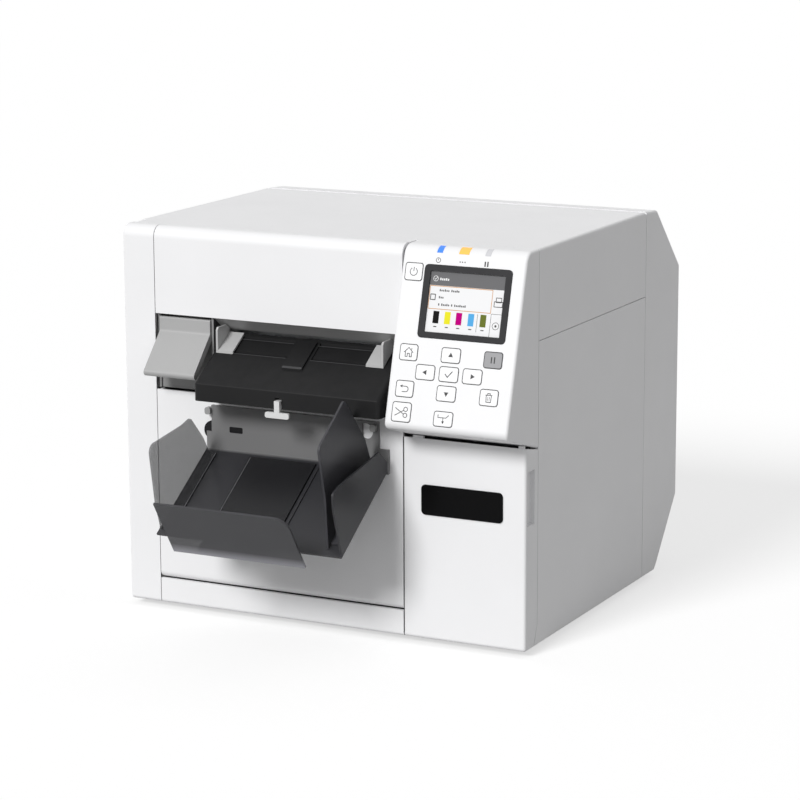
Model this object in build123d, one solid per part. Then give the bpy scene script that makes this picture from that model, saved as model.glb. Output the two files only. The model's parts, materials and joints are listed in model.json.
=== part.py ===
from build123d import *
import math
import os

# A desktop inkjet printer for rolls of labels. X runs to its right, Y to its back and Z up,
# in millimetres. While it is drawn, Y is 0 on the front face of the casing and Z is 0 on the desk.
# At the end everything moves in Y so that the origin is under the middle of the whole printer.

# Casing
width = 310.0
casing_height = 271.0
depth = 274.5
foot_height = 4.0
foot_radius = 9.0
foot_inset = 24.0
wall = 2.5
seam = 0.5
edge_round = 2.0
top_front_round = 8.0
bottom_front_round = 2.5
rear_corner_round = 4.0
top_slope_start_y = 208.0
top_break_y = 229.0
top_fall = 1.4
rear_slope_drop = 47.6
rear_lower_z = 53.6
skirt_rear_y = 237.4
skirt_rear_z = 8.3
skirt_end_y = 233.0
half = width / 2
top = foot_height + casing_height
rear_upper_z = top - rear_slope_drop

# Seams between the covers
rear_seam_y = 207.8
side_front_seam_y = 19.7
lid_front_y = 12.3
left_column_w = 25.5
right_column_w = 90.6
sill_seam_z = 22.4
sill_ledge_y = 9.5
upper_panel_height = 61.3
door_kink_y = 13.5
door_kink_z = 19.6
strip_seam_x = left_column_w - half
column_seam_x = half - right_column_w
upper_panel_bottom_z = top - upper_panel_height
lid_skirt_z = upper_panel_bottom_z - seam

# Hinges
hinge_gap = 0.35
running_gap = 0.05
pin_radius = 1.25
lug_radius = 2.4
lug_width = 4.0
roll_cover_skin = 2.0
lip_relief = 0.8
door_skin = 2.5
lid_hinge_round = 4.0
lid_pin_radius = 1.2
lid_lug_x = half - 15.0
lid_relief = 0.3
notch_w = 4.0
notch_l = 13.0
notch_h = 4.5
door_lug_inset = 20.5
finger_front_y = 2.1
finger_width = 12.0
finger_depth = 3.1
finger_wall = 1.5
finger_drop = 16.6
finger_height = 37.4
roll_lug_inset = 30.0

# Control panel, with its features placed from its left edge
panel_top_y = 1.5
panel_foot_y = -31.0
panel_height = 119.0
panel_nose = 15.2
panel_gap = 0.7
door_drop = 11.7
tab_rise = 1.2
panel_foot_round = 5.0
panel_top_round = 9.0
panel_skin = 2.5
key_gap = 0.35
key_proud = 0.4
key_travel = 0.8
key_round = 1.6
key_cap = 2.2
key_flange = 0.8
board_depth = 6.0
board_thickness = 1.6
board_left = 45.0
board_v = 61.0
board_w = 84.0
board_h = 108.0
frame_w = 64.0
frame_h = 49.0
frame_round = 3.0
frame_proud = 0.4
frame_depth = 3.2
frame_left = 49.0
frame_v = 35.1
screen_w = 54.7
screen_h = 40.6
screen_sink = 0.9
screen_thickness = 1.5
screen_lap = 0.9
light_low_v = 4.2
light_back_y = 7.0
light_gap = 0.1
panel_left_x = column_seam_x + seam
panel_foot_z = top - panel_height
panel_rear_z = panel_foot_z - panel_nose
door_top_z = panel_foot_z - door_drop
door_rear_top_z = panel_rear_z - panel_gap

# Release lever
lever_w = 40.6
lever_gap = 2.7
lever_drop = 8.3
lever_axis_y = 9.0
lever_hub_radius = 3.2
lever_stub_radius = 1.5
cheek_w = 1.8
cheek_gap = 0.4
lever_left_x = strip_seam_x + lever_gap
lever_x = (lever_left_x, lever_left_x + lever_w)
lever_axis_z = upper_panel_bottom_z - lever_drop

# Paper path
paper_drop = 6.7
paper_offset = 3.6
exit_low_y = 16.0
exit_drop = 3.3
exit_high_y = 3.2
paper_z = upper_panel_bottom_z - paper_drop

# Ejection table
table_drop = 33.6
table_height = 12.4
table_front_y = -29.4
table_slope = 0.64
table_back_y = 15.0
table_skin = 3.0
table_round = 3.0
table_seat = 1.5
slot_front_y = -1.0
slot_back_y = 11.4
slot_width = 2.4
recess_depth = 0.8
centre_bar_front_y = -11.5
centre_bar_h = 1.4
guide_base_w = 11.7
guide_base_t = 1.4
guide_wall_t = 1.5
guide_headroom = 5.7
guide_lift = 0.3
table_left_x = lever_x[1] + 4.2
table_right_x = column_seam_x - 3.2
table_front_z = paper_z - table_drop
table_bottom_z = table_front_z - table_height
roll_cover_top_z = table_bottom_z - table_seat
paper_x = (table_left_x + table_right_x) / 2 - paper_offset
left_slot_x = (table_left_x + 6.0, paper_x - 8.0)
right_slot_x = (paper_x + 9.0, table_right_x - 12.7)
centre_bar_x = (paper_x - 8.5, paper_x + 7.0)
guide_top_z = upper_panel_bottom_z - guide_headroom
left_guide_x = table_left_x + 3.4
right_guide_x = table_right_x - 10.0

# Guide lock below the table
lock_x = paper_x - 1.5
lock_stem_w = 4.0
lock_bar_w = 18.4
lock_bar_h = 4.0
lock_bar_drop = 6.0
lock_axis_y = -23.5
lock_hub_radius = 2.2
lock_stub_radius = 1.0
lock_lip = 3.2
lock_axis_z = table_bottom_z + 4.4
lock_bar_z = (table_bottom_z - lock_bar_drop, table_bottom_z - lock_bar_drop + lock_bar_h)

# Label bin, drawn in the tilted frame of its floor: u runs down the floor, n stands on it
bin_top_y = -2.4
bin_drop = 39.6
bin_slope = 0.662
bin_length = 82.0
bin_floor_t = 1.6
bin_wall_t = 1.6
bin_back_t = 2.4
bin_play = 0.25
bin_foot_w = 9.1
bin_foot_t = 1.4
bin_rail_h = 1.0
stop_u = 94.0
stop_height = 48.0
stop_inset = 20.6
stop_slide_back_u = 4.0
stop_slide_t = 1.2
stop_round = 10.0
notch_radius = 5.5
bin_left_x = table_left_x - 6.0
bin_right_x = table_right_x - 7.2
bin_top_z = roll_cover_top_z - bin_drop
bin_back_top_z = roll_cover_top_z - 7.0
bin_back_x = (bin_left_x + 4.0, bin_right_x - 7.5)
bin_rail_x = (bin_left_x + 36.0, bin_right_x - 50.5)
bin_left_wall_x = bin_left_x + 1.4
bin_right_wall_x = bin_right_x - 13.0
stop_x = (bin_left_x + stop_inset, bin_right_x - stop_inset)
stop_slide_x = (bin_left_x + 38.0, bin_right_x - 53.0)
notch_x = bin_right_x - 17.0

# Frame and print mechanism
frame_sheet = 1.5
frame_gap = 4.0
frame_front_y = 24.0
frame_back_y = 207.0
frame_drop = 17.0
feed_y = 50.0
feed_radius = 8.0
feed_shaft_radius = 3.0
pinch_radius = 5.0
pinch_shaft_radius = 1.5
pinch_lift = 0.3
gear_radius = 16.0
gear_width = 6.0
pinion_radius = 6.0
pinion_shaft_radius = 1.5
feed_motor_radius = 11.0
feed_motor_length = 30.0
gear_module = 1.0
mesh_angle = -50.0
platen_y = (68.0, 124.0)
platen_t = 3.0
shaft_y = 95.0
shaft_drop = 18.0
shaft_radius = 4.0
carriage_w = 50.0
carriage_park = 14.5
carriage_y = (66.0, 126.0)
belt_y = 131.6
belt_drop = 4.0
belt_height = 6.0
belt_t = 1.4
belt_gap = 0.3
pulley_radius = 6.0
pulley_inset = 12.5
pulley_drop = 8.0
motor_radius = 10.0
motor_height = 26.0
blade_y = 26.0
blade_t = 1.5
blade_gap = 0.3
frame_x_out = half - wall - frame_gap
centre_wall_x = column_seam_x - 2.4
centre_wall_top_z = paper_z - 2.0
frame_top_z = top - frame_drop
feed_length = 2 * (centre_wall_x - 14.0 - paper_x)
gear_x = frame_sheet - frame_x_out + 4.0
shaft_z = frame_top_z - shaft_drop
carriage_x = (frame_x_out - carriage_park - carriage_w, frame_x_out - carriage_park)
carriage_z = (paper_z + 2.5, frame_top_z)
belt_z = shaft_z - belt_drop
pulley_x = frame_x_out - pulley_inset
blade_x = (paper_x - feed_length / 2 - 4.0, paper_x + feed_length / 2 + 6.0)
cutter_beam_z = (paper_z + 4.5, paper_z + 14.0)

# Label roll
roll_y = 84.0
roll_z = 84.0
roll_radius = 50.0
core_radius = 19.5
spindle_radius = 19.2
journal_radius = 6.0
roll_flange_radius = 42.0
roll_flange_t = 3.0
saddle_t = 4.0
saddle_wrap = 10.0
roll_width = 2 * (centre_wall_x - 22.0 - paper_x)

# Ink bay and electronics
bay_y = (21.5, 176.0)
bay_floor_z = 10.0
bay_wall = 2.0
box_height = 26.0
box_depth = 120.0
cartridge_count = 4
cartridge_gap = 0.6
cartridge_headroom = 6.0
cartridge_front_y = 26.0
cartridge_depth = 130.0
supply_y = (142.0, 190.0)
supply_z = (7.0, 62.0)
supply_w = 100.0
mainboard_y = 196.0
mainboard_low_z = 66.0
bracket_t = 2.0
socket_z = 84.0
socket_wall = 1.5
socket_plate_h = 32.0
bay_x = (centre_wall_x + frame_sheet + 3.0, frame_x_out - frame_sheet - 0.5)
bay_top_z = door_top_z - 3.3
supply_x = (35.0 - half, 35.0 - half + supply_w)
mainboard_x = (45.0 - half, centre_wall_x - 7.0)
mainboard_z = (mainboard_low_z, paper_z - 17.0)
socket_plate_x = (25.0 - half, 109.0 - half)

# Badge plate on the ink door
badge_w = 60.4
badge_h = 20.8
badge_drop = 31.8
badge_inset = 16.6
badge_t = 0.8
badge_round = 3.0
badge_x = (half - badge_inset - badge_w, half - badge_inset)
badge_z = (door_top_z - badge_drop - badge_h, door_top_z - badge_drop)


def block(x, y, z):
    """A box given by its low and high X, Y and Z."""
    middle = [(a + b) / 2 for a, b in (x, y, z)]
    return Pos(*middle) * Box(x[1] - x[0], y[1] - y[0], z[1] - z[0])


def across(outline, x, rounds=0.0):
    """A side-view outline of (y, z) points carried across from x[0] to x[1]."""
    points = [(x[0], y, z) for y, z in outline]
    line = FilletPolyline(*points, radius=rounds, close=True)
    return extrude(make_face(line), amount=x[1] - x[0], dir=(1, 0, 0))


def rod(x, y, z, radius):
    """A round bar along X."""
    return Pos((x[0] + x[1]) / 2, y, z) * Rot(0, 90, 0) * Cylinder(radius, x[1] - x[0])


def post(x, y, z, radius):
    """A round bar along Z."""
    return Pos(x, y, (z[0] + z[1]) / 2) * Cylinder(radius, z[1] - z[0])


# The casing starts as one hollow body, and each cover is the piece of it between its seams.
def casing_outline(inset):
    """The casing's side view, drawn in by inset."""
    points = [
        (0, foot_height),
        (0, top),
        (top_slope_start_y, top),
        (top_break_y, top - top_fall),
        (depth, rear_upper_z),
        (depth, rear_lower_z),
        (skirt_rear_y, skirt_rear_z),
        (skirt_end_y, foot_height),
    ]
    rounds = [bottom_front_round, top_front_round, 0, rear_corner_round, rear_corner_round,
              rear_corner_round, 0, 0]
    face = make_face(FilletPolyline(*[(-half + inset, y, z) for y, z in points],
                                    radius=rounds, close=True))
    return offset(face, amount=-inset) if inset else face


def casing_skin():
    outer = extrude(casing_outline(0), amount=width, dir=(1, 0, 0))
    outer = fillet(outer.edges().group_by(Axis.X)[0], edge_round)
    outer = fillet(outer.edges().group_by(Axis.X)[-1], edge_round)
    inner = extrude(casing_outline(wall), amount=width - 2 * wall, dir=(1, 0, 0))
    inner += block((wall - half, half - wall), (wall, skirt_end_y - 1), (0, 4 * foot_height))
    return outer - inner


lid_axis_y = rear_seam_y - seam / 2 - lid_hinge_round
lid_axis_z = top - lid_hinge_round
lid_reach = lid_axis_y - lid_front_y
roll_axis_y = roll_cover_skin + hinge_gap + lug_radius
roll_axis_z = sill_seam_z + seam / 2 + roll_axis_y
door_axis_y = door_skin + hinge_gap + lug_radius
pin_reach = 1.5 * lug_width + 2 * hinge_gap
door_axis_z = foot_height + door_axis_y
door_x = (column_seam_x + seam, half)
strip_x = (strip_seam_x + seam / 2, column_seam_x - seam)


def lid_zone(gap):
    """Where the lid's left side swings: inside a circle round its hinge, above the skirt seam."""
    swing = rod((-half - 1, strip_seam_x), lid_axis_y, lid_axis_z, lid_reach + gap)
    room = block((-half - 2, strip_seam_x + 1), (-5, rear_seam_y), (lid_skirt_z + seam - gap, top + 5))
    return swing & room


def left_side_cover(skin):
    piece = skin & block((-half - 1, strip_seam_x - seam / 2), (-5, rear_seam_y - seam / 2),
                         (0, top + 5))
    return piece - lid_zone(seam)


def right_side_cover(skin):
    front = [
        (door_kink_y + seam, 0),
        (door_kink_y + seam, foot_height),
        (side_front_seam_y + seam / 2, door_kink_z),
        (side_front_seam_y + seam / 2, lid_skirt_z),
        (rear_seam_y - seam / 2, lid_skirt_z),
        (rear_seam_y - seam / 2, 0),
    ]
    return skin & across(front, (half - 2 * wall, half + 1))


def rear_cover(skin):
    piece = skin & block((-half - 1, half + 1), (rear_seam_y + seam / 2, depth + 1), (0, top + 5))
    for x, w, h in sockets:
        piece -= block((x - w / 2 - seam, x + w / 2 + seam), (depth - 9, depth + 1),
                       (socket_z - h / 2 - seam, socket_z + h / 2 + seam))
    for i in range(9):
        low = 120 + 7 * i
        piece -= block((-60, 60), (depth - 9, depth + 1), (low, low + 3))
    return piece


def upper_front_panel(skin):
    piece = skin & block(strip_x, (-5, lid_front_y - seam), (upper_panel_bottom_z, top + 5))
    flange = block((strip_x[0] + 1, strip_x[1] - 1), (wall, lid_front_y - seam - 2),
                   (upper_panel_bottom_z, upper_panel_bottom_z + 2))
    return piece + flange


def front_sill(skin):
    piece = skin & block(strip_x, (-5, lid_front_y), (0, sill_seam_z - seam / 2))
    ledge = block((strip_x[0], centre_wall_x - seam), (wall, sill_ledge_y),
                  (sill_seam_z - 8, sill_seam_z - 6))
    return piece + ledge


def top_cover(skin):
    """The lid: its top, its side skirts and the knuckles of its hinge."""
    body = skin & block((strip_seam_x, column_seam_x), (lid_front_y, rear_seam_y - seam / 2),
                        (lid_skirt_z + seam, top + 5))
    body += skin & block((column_seam_x, half + 1),
                         (side_front_seam_y + seam / 2, rear_seam_y - seam / 2),
                         (lid_skirt_z + seam, top + 5))
    body += skin & lid_zone(0)
    corner = block((-half - 1, half + 1), (lid_axis_y, rear_seam_y), (lid_axis_z, top + 5))
    body -= corner - rod((-half - 1, half + 1), lid_axis_y, lid_axis_z, lid_hinge_round)
    for side in (-1, 1):
        at = side * lid_lug_x
        for shift in (-1, 1):
            middle = at + shift * (lug_width + 2 * hinge_gap)
            x = (middle - lug_width / 2, middle + lug_width / 2)
            body += rod(x, lid_axis_y, lid_axis_z, lid_hinge_round - 0.2)
            body += block(x, (lid_axis_y - 14, lid_axis_y), (lid_axis_z - 1, top - wall))
            body -= rod(x, lid_axis_y, lid_axis_z, lid_pin_radius + running_gap)
        relief = (at - lug_width / 2 - hinge_gap, at + lug_width / 2 + hinge_gap)
        body -= rod(relief, lid_axis_y, lid_axis_z, lug_radius + lid_relief)
    for y in (60, 110, 160):
        body += block((-lid_lug_x, lid_lug_x), (y, y + 2), (top - wall - 3, top - wall))
    body -= block((-half - 1, notch_w - half), (lid_front_y - 1, lid_front_y + notch_l),
                  (top - notch_h, top + 1))
    return body


def roll_cover(skin):
    """The lower front panel. It swings forward on its bottom edge and carries the table."""
    plate = skin & block(strip_x, (-1, roll_cover_skin), (roll_axis_z, roll_cover_top_z))
    inside = (strip_x[0] + 1, table_right_x)
    lip = rod(strip_x, roll_axis_y, roll_axis_z, roll_axis_y)
    piece = plate + (lip & block(strip_x, (0, roll_axis_y), (0, roll_axis_z)))
    for at in roll_lugs:
        room = lug_width / 2 + hinge_gap
        piece -= rod((at - room, at + room), roll_axis_y, roll_axis_z, lug_radius + lip_relief)
        for shift in (-1, 1):
            middle = at + shift * (lug_width + 2 * hinge_gap)
            x = (middle - lug_width / 2, middle + lug_width / 2)
            piece += rod(x, roll_axis_y, roll_axis_z, lug_radius)
            piece += block(x, (roll_cover_skin / 2, roll_axis_y),
                           (roll_axis_z - lug_radius, roll_axis_z + lug_radius))
        piece -= rod((at - pin_reach, at + pin_reach), roll_axis_y, roll_axis_z,
                     pin_radius + running_gap)
    rib_z = (roll_axis_z + 8, roll_cover_top_z)
    for x in (inside[0], table_left_x - 3, paper_x, inside[1] - 3):
        piece += block((x, x + 2), (roll_cover_skin, 6), rib_z)
    piece += block((table_left_x, inside[1]), (roll_cover_skin, 6),
                   (roll_cover_top_z - 3, table_bottom_z))
    return piece


def ink_door(skin):
    """The door over the ink. It drops forward on its bottom edge, is pulled by a finger recess in its
    side and has two catch tabs on top."""
    side = [
        (-1, 0),
        (-1, door_top_z),
        (side_front_seam_y - seam / 2, door_rear_top_z),
        (side_front_seam_y - seam / 2, door_kink_z),
        (door_kink_y, foot_height),
        (door_kink_y, 0),
    ]
    piece = skin & across(side, door_x)
    piece += block((half - finger_depth - finger_wall, half - wall / 2),
                   (finger_front_y - 1, finger_front_y + finger_width + finger_wall),
                   (finger_z[0] - finger_wall, finger_z[1] + finger_wall))
    piece -= block((half - finger_depth, half + 1), (finger_front_y, finger_front_y + finger_width),
                   finger_z)
    piece += block((door_x[0], door_x[0] + 2), (door_skin, 8), (2 * door_axis_z, door_top_z - 2))
    piece += block((door_x[0] + 2, half - wall), (door_skin, 6), (door_top_z - 4, door_top_z - 2))
    for x in ((door_x[0] + 6, door_x[0] + 14), (half - 6, half - 2)):
        piece += block(x, (1, 3), (door_top_z - 2, door_top_z + tab_rise))
    for at in door_lugs:
        for shift in (-1, 1):
            middle = at + shift * (lug_width + 2 * hinge_gap)
            x = (middle - lug_width / 2, middle + lug_width / 2)
            piece += rod(x, door_axis_y, door_axis_z, lug_radius)
            piece += block(x, (door_skin, door_axis_y),
                           (door_axis_z - lug_radius, door_axis_z + lug_radius))
        piece -= rod((at - pin_reach, at + pin_reach), door_axis_y, door_axis_z,
                     pin_radius + running_gap)
    return piece


finger_z = (door_top_z - finger_drop - finger_height, door_top_z - finger_drop)
roll_lugs = (strip_seam_x + roll_lug_inset - seam, column_seam_x - roll_lug_inset - 2.4)
door_lugs = (column_seam_x + door_lug_inset - 0.9, half - door_lug_inset - seam)
base_front_y = 17.0
sockets = ((43.0 - half, 27.0, 20.0), (77.0 - half, 12.0, 11.0), (97.0 - half, 16.0, 14.0))


def base_tray():
    """The floor of the printer with a low rim, and the lugs that the two front covers hang on."""
    inner = half - wall - 0.2
    piece = block((-inner, inner), (base_front_y, skirt_end_y - 2), (foot_height, foot_height + 3))
    piece += block((-inner, column_seam_x - 2), (wall + 0.2, base_front_y),
                   (foot_height, foot_height + 3))
    for x in ((-inner, -inner + 2), (inner - 2, inner)):
        piece += block(x, (base_front_y + 4, skirt_end_y - 2), (foot_height, foot_height + 12))
    for at in roll_lugs:
        x = (at - lug_width / 2, at + lug_width / 2)
        lug = rod(x, roll_axis_y, roll_axis_z, lug_radius)
        lug += block(x, (roll_axis_y, 14), (roll_axis_z - lug_radius, roll_axis_z + lug_radius))
        lug += block(x, (10, 14), (foot_height + 3, roll_axis_z + lug_radius))
        piece += lug - rod(x, roll_axis_y, roll_axis_z, pin_radius + running_gap)
    for at in door_lugs:
        x = (at - lug_width / 2, at + lug_width / 2)
        lug = rod(x, door_axis_y, door_axis_z, lug_radius)
        lug += block(x, (door_axis_y, base_front_y + 3),
                     (door_axis_z - 1, door_axis_z + lug_radius))
        lug += block(x, (base_front_y, base_front_y + 3), (foot_height + 3, door_axis_z))
        piece += lug - rod(x, door_axis_y, door_axis_z, pin_radius + running_gap)
    return piece


def rubber_feet():
    feet = []
    for x in (-half + foot_inset, half - foot_inset):
        for y in (foot_inset + 8, skirt_end_y - foot_inset):
            foot = post(x, y, (0, foot_height), foot_radius)
            feet.append(fillet(foot.edges().group_by(Axis.Z)[0], 1.0))
    return Compound(feet)


def hinge_pins():
    pins = []
    for side in (-1, 1):
        at = side * lid_lug_x
        pins.append(rod((at - pin_reach, at + pin_reach), lid_axis_y, lid_axis_z, lid_pin_radius))
    for lugs, y, z in ((roll_lugs, roll_axis_y, roll_axis_z), (door_lugs, door_axis_y, door_axis_z)):
        for at in lugs:
            pins.append(rod((at - pin_reach, at + pin_reach), y, z, pin_radius))
    return Compound(pins)


# The control panel is a slanted face. Features on it are placed by X and by v, the distance
# down the face from its top edge.
panel_tilt = math.atan2(panel_top_y - panel_foot_y, top - panel_skin + 1 - panel_foot_z)
panel_plane = Plane(origin=(0, panel_top_y, top - panel_skin + 1), x_dir=(1, 0, 0),
                    z_dir=(0, -math.cos(panel_tilt), math.sin(panel_tilt)))
panel_axis = Axis(panel_plane.origin, panel_plane.z_dir)


def on_panel(x, v, w, h, low, high, rounding):
    """A rounded block on the panel, from low to high along its normal. x counts from its left edge."""
    shape = RectangleRounded(w, h, rounding) if rounding else Rectangle(w, h)
    flat = panel_plane.offset(low) * Pos(panel_left_x + x, -v) * shape
    return extrude(flat, amount=high - low)


# Each key has its distance from the panel's left edge, its v, its width and its height.
keys = {
    "power_key": (9.3, 16.4, 12.2, 11.2),
    "home_key": (12.4, 70.1, 12.4, 10.3),
    "up_key": (43.3, 69.8, 13.2, 9.3),
    "pause_key": (74.0, 70.4, 12.6, 10.2),
    "left_key": (26.1, 82.4, 13.2, 9.4),
    "ok_key": (43.3, 82.4, 13.3, 9.4),
    "right_key": (60.4, 82.4, 13.3, 9.4),
    "back_key": (12.5, 94.5, 12.4, 10.3),
    "down_key": (43.1, 95.2, 13.3, 9.6),
    "cancel_key": (74.0, 95.1, 12.5, 10.2),
    "cut_key": (12.1, 110.0, 13.3, 12.5),
    "feed_key": (43.0, 112.0, 13.2, 9.4),
}
lights = {"ready": (26.4, 4.1), "status": (44.1, 7.4), "paused": (61.5, 3.9)}


def housing_shell():
    """The wedge-shaped housing with its rounded nose and open back."""
    outline = [
        (side_front_seam_y - seam / 2, panel_rear_z),
        (panel_foot_y, panel_foot_z),
        (panel_top_y - (top - panel_plane.origin.Z) * -math.tan(panel_tilt), top),
        (side_front_seam_y - seam / 2, top),
    ]
    x = (panel_left_x, half)
    outer = across(outline, x, [0, panel_foot_round, panel_top_round, 0])
    outer = fillet(outer.edges().group_by(Axis.X)[-1].filter_by_position(
        Axis.Y, -100, side_front_seam_y - 1), edge_round)
    outer = fillet(outer.edges().group_by(Axis.X)[0].filter_by_position(
        Axis.Y, -100, side_front_seam_y - 1), edge_round)
    face = make_face(FilletPolyline(*[(x[0] + panel_skin, y, z) for y, z in outline],
                                    radius=[0, panel_foot_round, panel_top_round, 0], close=True))
    inner = extrude(offset(face, amount=-panel_skin), amount=x[1] - x[0] - 2 * panel_skin,
                    dir=(1, 0, 0))
    inner += inner.moved(Location((0, panel_skin + 1, 0)))
    return outer - inner


def control_panel_housing(shell):
    piece = shell - on_panel(frame_left, frame_v, frame_w + 2 * light_gap, frame_h + 2 * light_gap,
                             -2 * panel_skin, 5, frame_round + light_gap)
    for x, v, w, h in keys.values():
        piece -= on_panel(x, v, w + 2 * key_gap, h + 2 * key_gap, -2 * panel_skin, 5,
                          key_round + key_gap)
    for x, w in lights.values():
        piece -= light_room(x, w + 2 * light_gap, light_gap)
    return piece


def light_room(x, w, grow):
    """Where a status light wraps over the top edge of the housing."""
    low = top - (light_low_v + grow) * math.cos(panel_tilt)
    middle = panel_left_x + x
    return block((middle - w / 2, middle + w / 2), (panel_foot_y, light_back_y + grow), (low, top + 5))


def status_lights(shell):
    return Compound([shell & light_room(x, w, 0) for x, w in lights.values()])


def lcd_frame():
    ring = on_panel(frame_left, frame_v, frame_w, frame_h, -frame_depth, frame_proud, frame_round)
    ring = chamfer(ring.edges().group_by(panel_axis)[-1], 0.3)
    hole = on_panel(frame_left, frame_v, screen_w, screen_h, -frame_depth - 1, 2, 0)
    seat = on_panel(frame_left, frame_v, screen_w + 2 * screen_lap + 0.2, screen_h + 2 * screen_lap + 0.2,
                    -frame_depth, -screen_sink, 0)
    return ring - hole - seat


def lcd_screen():
    return on_panel(frame_left, frame_v, screen_w + 2 * screen_lap, screen_h + 2 * screen_lap,
                    -screen_sink - screen_thickness, -screen_sink, 0)


def key_cap_piece(x, v, w, h):
    """A key: a rounded cap, a flange that keeps it in and a plunger down to the board."""
    cap = on_panel(x, v, w, h, -key_cap, key_proud, key_round)
    cap = fillet(cap.edges().group_by(panel_axis)[-1], 0.3)
    flange = on_panel(x, v, w + 1.2, h + 0.8, -panel_skin - 0.1 - key_flange, -panel_skin - 0.1,
                      key_round)
    neck = on_panel(x, v, w - 1, h - 1, -panel_skin - 0.2, -key_cap + 0.1, key_round / 2)
    plunger = on_panel(x, v, 3, 3, -board_depth + key_travel + 0.1, -panel_skin - key_flange, 0)
    return cap + flange + neck + plunger


def key_board():
    """The circuit board behind the keys and the screen, with the posts that hold it."""
    board = on_panel(board_left, board_v, board_w, board_h, -board_depth - board_thickness, -board_depth, 0)
    for x in (board_left - board_w / 2 + 2.3, board_left + board_w / 2 - 2.1):
        for v in (44.0, 86.0):
            board += on_panel(x, v, 3, 3, -board_depth, -panel_skin, 0)
    board += on_panel(frame_left, frame_v, screen_w - 6, screen_h - 6, -board_depth,
                      -screen_sink - screen_thickness, 0)
    return board


# The slanted ejection table stands on the roll cover and swings with it.
def table_z(y):
    return table_front_z + table_slope * (y - table_front_y)


table_tilt = math.atan(table_slope)
table_x = (table_left_x, table_right_x)


def table_strip(x, y, low, high):
    """A block that lies along the table's slope between two Y, at heights above the slope."""
    up = 1 / math.cos(table_tilt)
    outline = [
        (y[0], table_z(y[0]) + low * up),
        (y[1], table_z(y[1]) + low * up),
        (y[1], table_z(y[1]) + high * up),
        (y[0], table_z(y[0]) + high * up),
    ]
    return across(outline, x)


def ejection_table():
    drop = table_skin / math.cos(table_tilt)
    outer = [
        (table_front_y, table_bottom_z),
        (table_front_y, table_front_z),
        (table_back_y, table_z(table_back_y)),
        (table_back_y, table_z(table_back_y) - 4),
        (6.0, table_bottom_z),
    ]
    body = across(outer, table_x, [0, 1.5, 0, 0, 0])
    corner = body.edges().filter_by(Axis.Z).group_by(Axis.Y)[0]
    body = fillet(corner, table_round)
    inner = [
        (table_front_y + table_skin, table_bottom_z - 1),
        (table_front_y + table_skin, table_front_z + table_skin * table_slope - drop),
        (table_back_y - 4.5, table_z(table_back_y - 4.5) - drop),
        (3.0, table_bottom_z + 2),
        (3.0, table_bottom_z - 1),
    ]
    body -= across(inner, (table_x[0] + table_skin, table_x[1] - table_skin))
    for x in (left_slot_x, right_slot_x):
        body -= table_strip(x, (slot_front_y, slot_back_y), -recess_depth, 3)
        for y in (slot_front_y, slot_back_y):
            body -= table_strip(x, (y - slot_width / 2, y + slot_width / 2), -2 * table_skin, 3)
    bar = (centre_bar_front_y, slot_back_y)
    body += table_strip(centre_bar_x, bar, -0.5, centre_bar_h)
    for x in (lock_x - lock_stem_w / 2 - 2.5, lock_x + lock_stem_w / 2 + 0.7):
        rib = block((x, x + 1.8), (table_front_y + table_skin, lock_axis_y + 4),
                    (table_bottom_z + 1, table_z(table_front_y + table_skin) - drop + 1))
        body += rib
    body -= rod((lock_x - 8, lock_x + 8), lock_axis_y, lock_axis_z, lock_stub_radius + running_gap) \
        & block((lock_x - 5, lock_x + 5), (-40, 0), (0, top))
    body -= block((lock_x - lock_stem_w / 2 - 0.6, lock_x + lock_stem_w / 2 + 0.6),
                  (table_front_y - 1, table_front_y + table_skin + 0.1),
                  (table_bottom_z - 1, lock_axis_z + lock_lip))
    return body


def paper_guide(wall_x, inward):
    """A guide: a foot on the table, a wall beside the label and tongues down into the slots."""
    foot_x = sorted((wall_x + inward * guide_wall_t, wall_x + inward * (guide_wall_t + guide_base_w)))
    wall_span = sorted((wall_x, wall_x + inward * guide_wall_t))
    y = (slot_front_y - 2.6, slot_back_y + 1.4)
    foot = table_strip((min(foot_x[0], wall_span[0]), max(foot_x[1], wall_span[1])), y,
                       guide_lift, guide_lift + guide_base_t)
    outline = [
        (y[0], table_z(y[0]) + guide_lift * 1.2),
        (y[1], table_z(y[1]) + guide_lift * 1.2),
        (y[1], guide_top_z - 2.9),
        (y[1] - 3.6, guide_top_z),
        (y[0] + 1.5, guide_top_z),
        (y[0], guide_top_z - 2),
    ]
    side = across(outline, wall_span, [0, 0, 0, 1, 0.5, 0])
    piece = foot + side
    tongue_x = (foot_x[0] + 2, foot_x[1] - 2)
    for at in (slot_front_y, slot_back_y):
        piece += table_strip(tongue_x, (at - slot_width / 2 + 0.3, at + slot_width / 2 - 0.3),
                             -table_skin, guide_lift + 0.1)
    return piece


def guide_lock():
    stem_x = (lock_x - lock_stem_w / 2, lock_x + lock_stem_w / 2)
    front = table_front_y - 0.4
    piece = block(stem_x, (front - 2, front), (lock_bar_z[0], lock_axis_z + 1.5))
    piece += block(stem_x, (front - 1, lock_axis_y), (lock_axis_z - 1.6, lock_axis_z + 1.5))
    piece += rod(stem_x, lock_axis_y, lock_axis_z, lock_hub_radius)
    bar = block((lock_x - lock_bar_w / 2, lock_x + lock_bar_w / 2), (front - 2, front), lock_bar_z)
    piece += fillet(bar.edges().filter_by(Axis.Y), 1.4)
    piece += rod((stem_x[0] - 2.2, stem_x[1] + 2.2), lock_axis_y, lock_axis_z, lock_stub_radius)
    return piece


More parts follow.
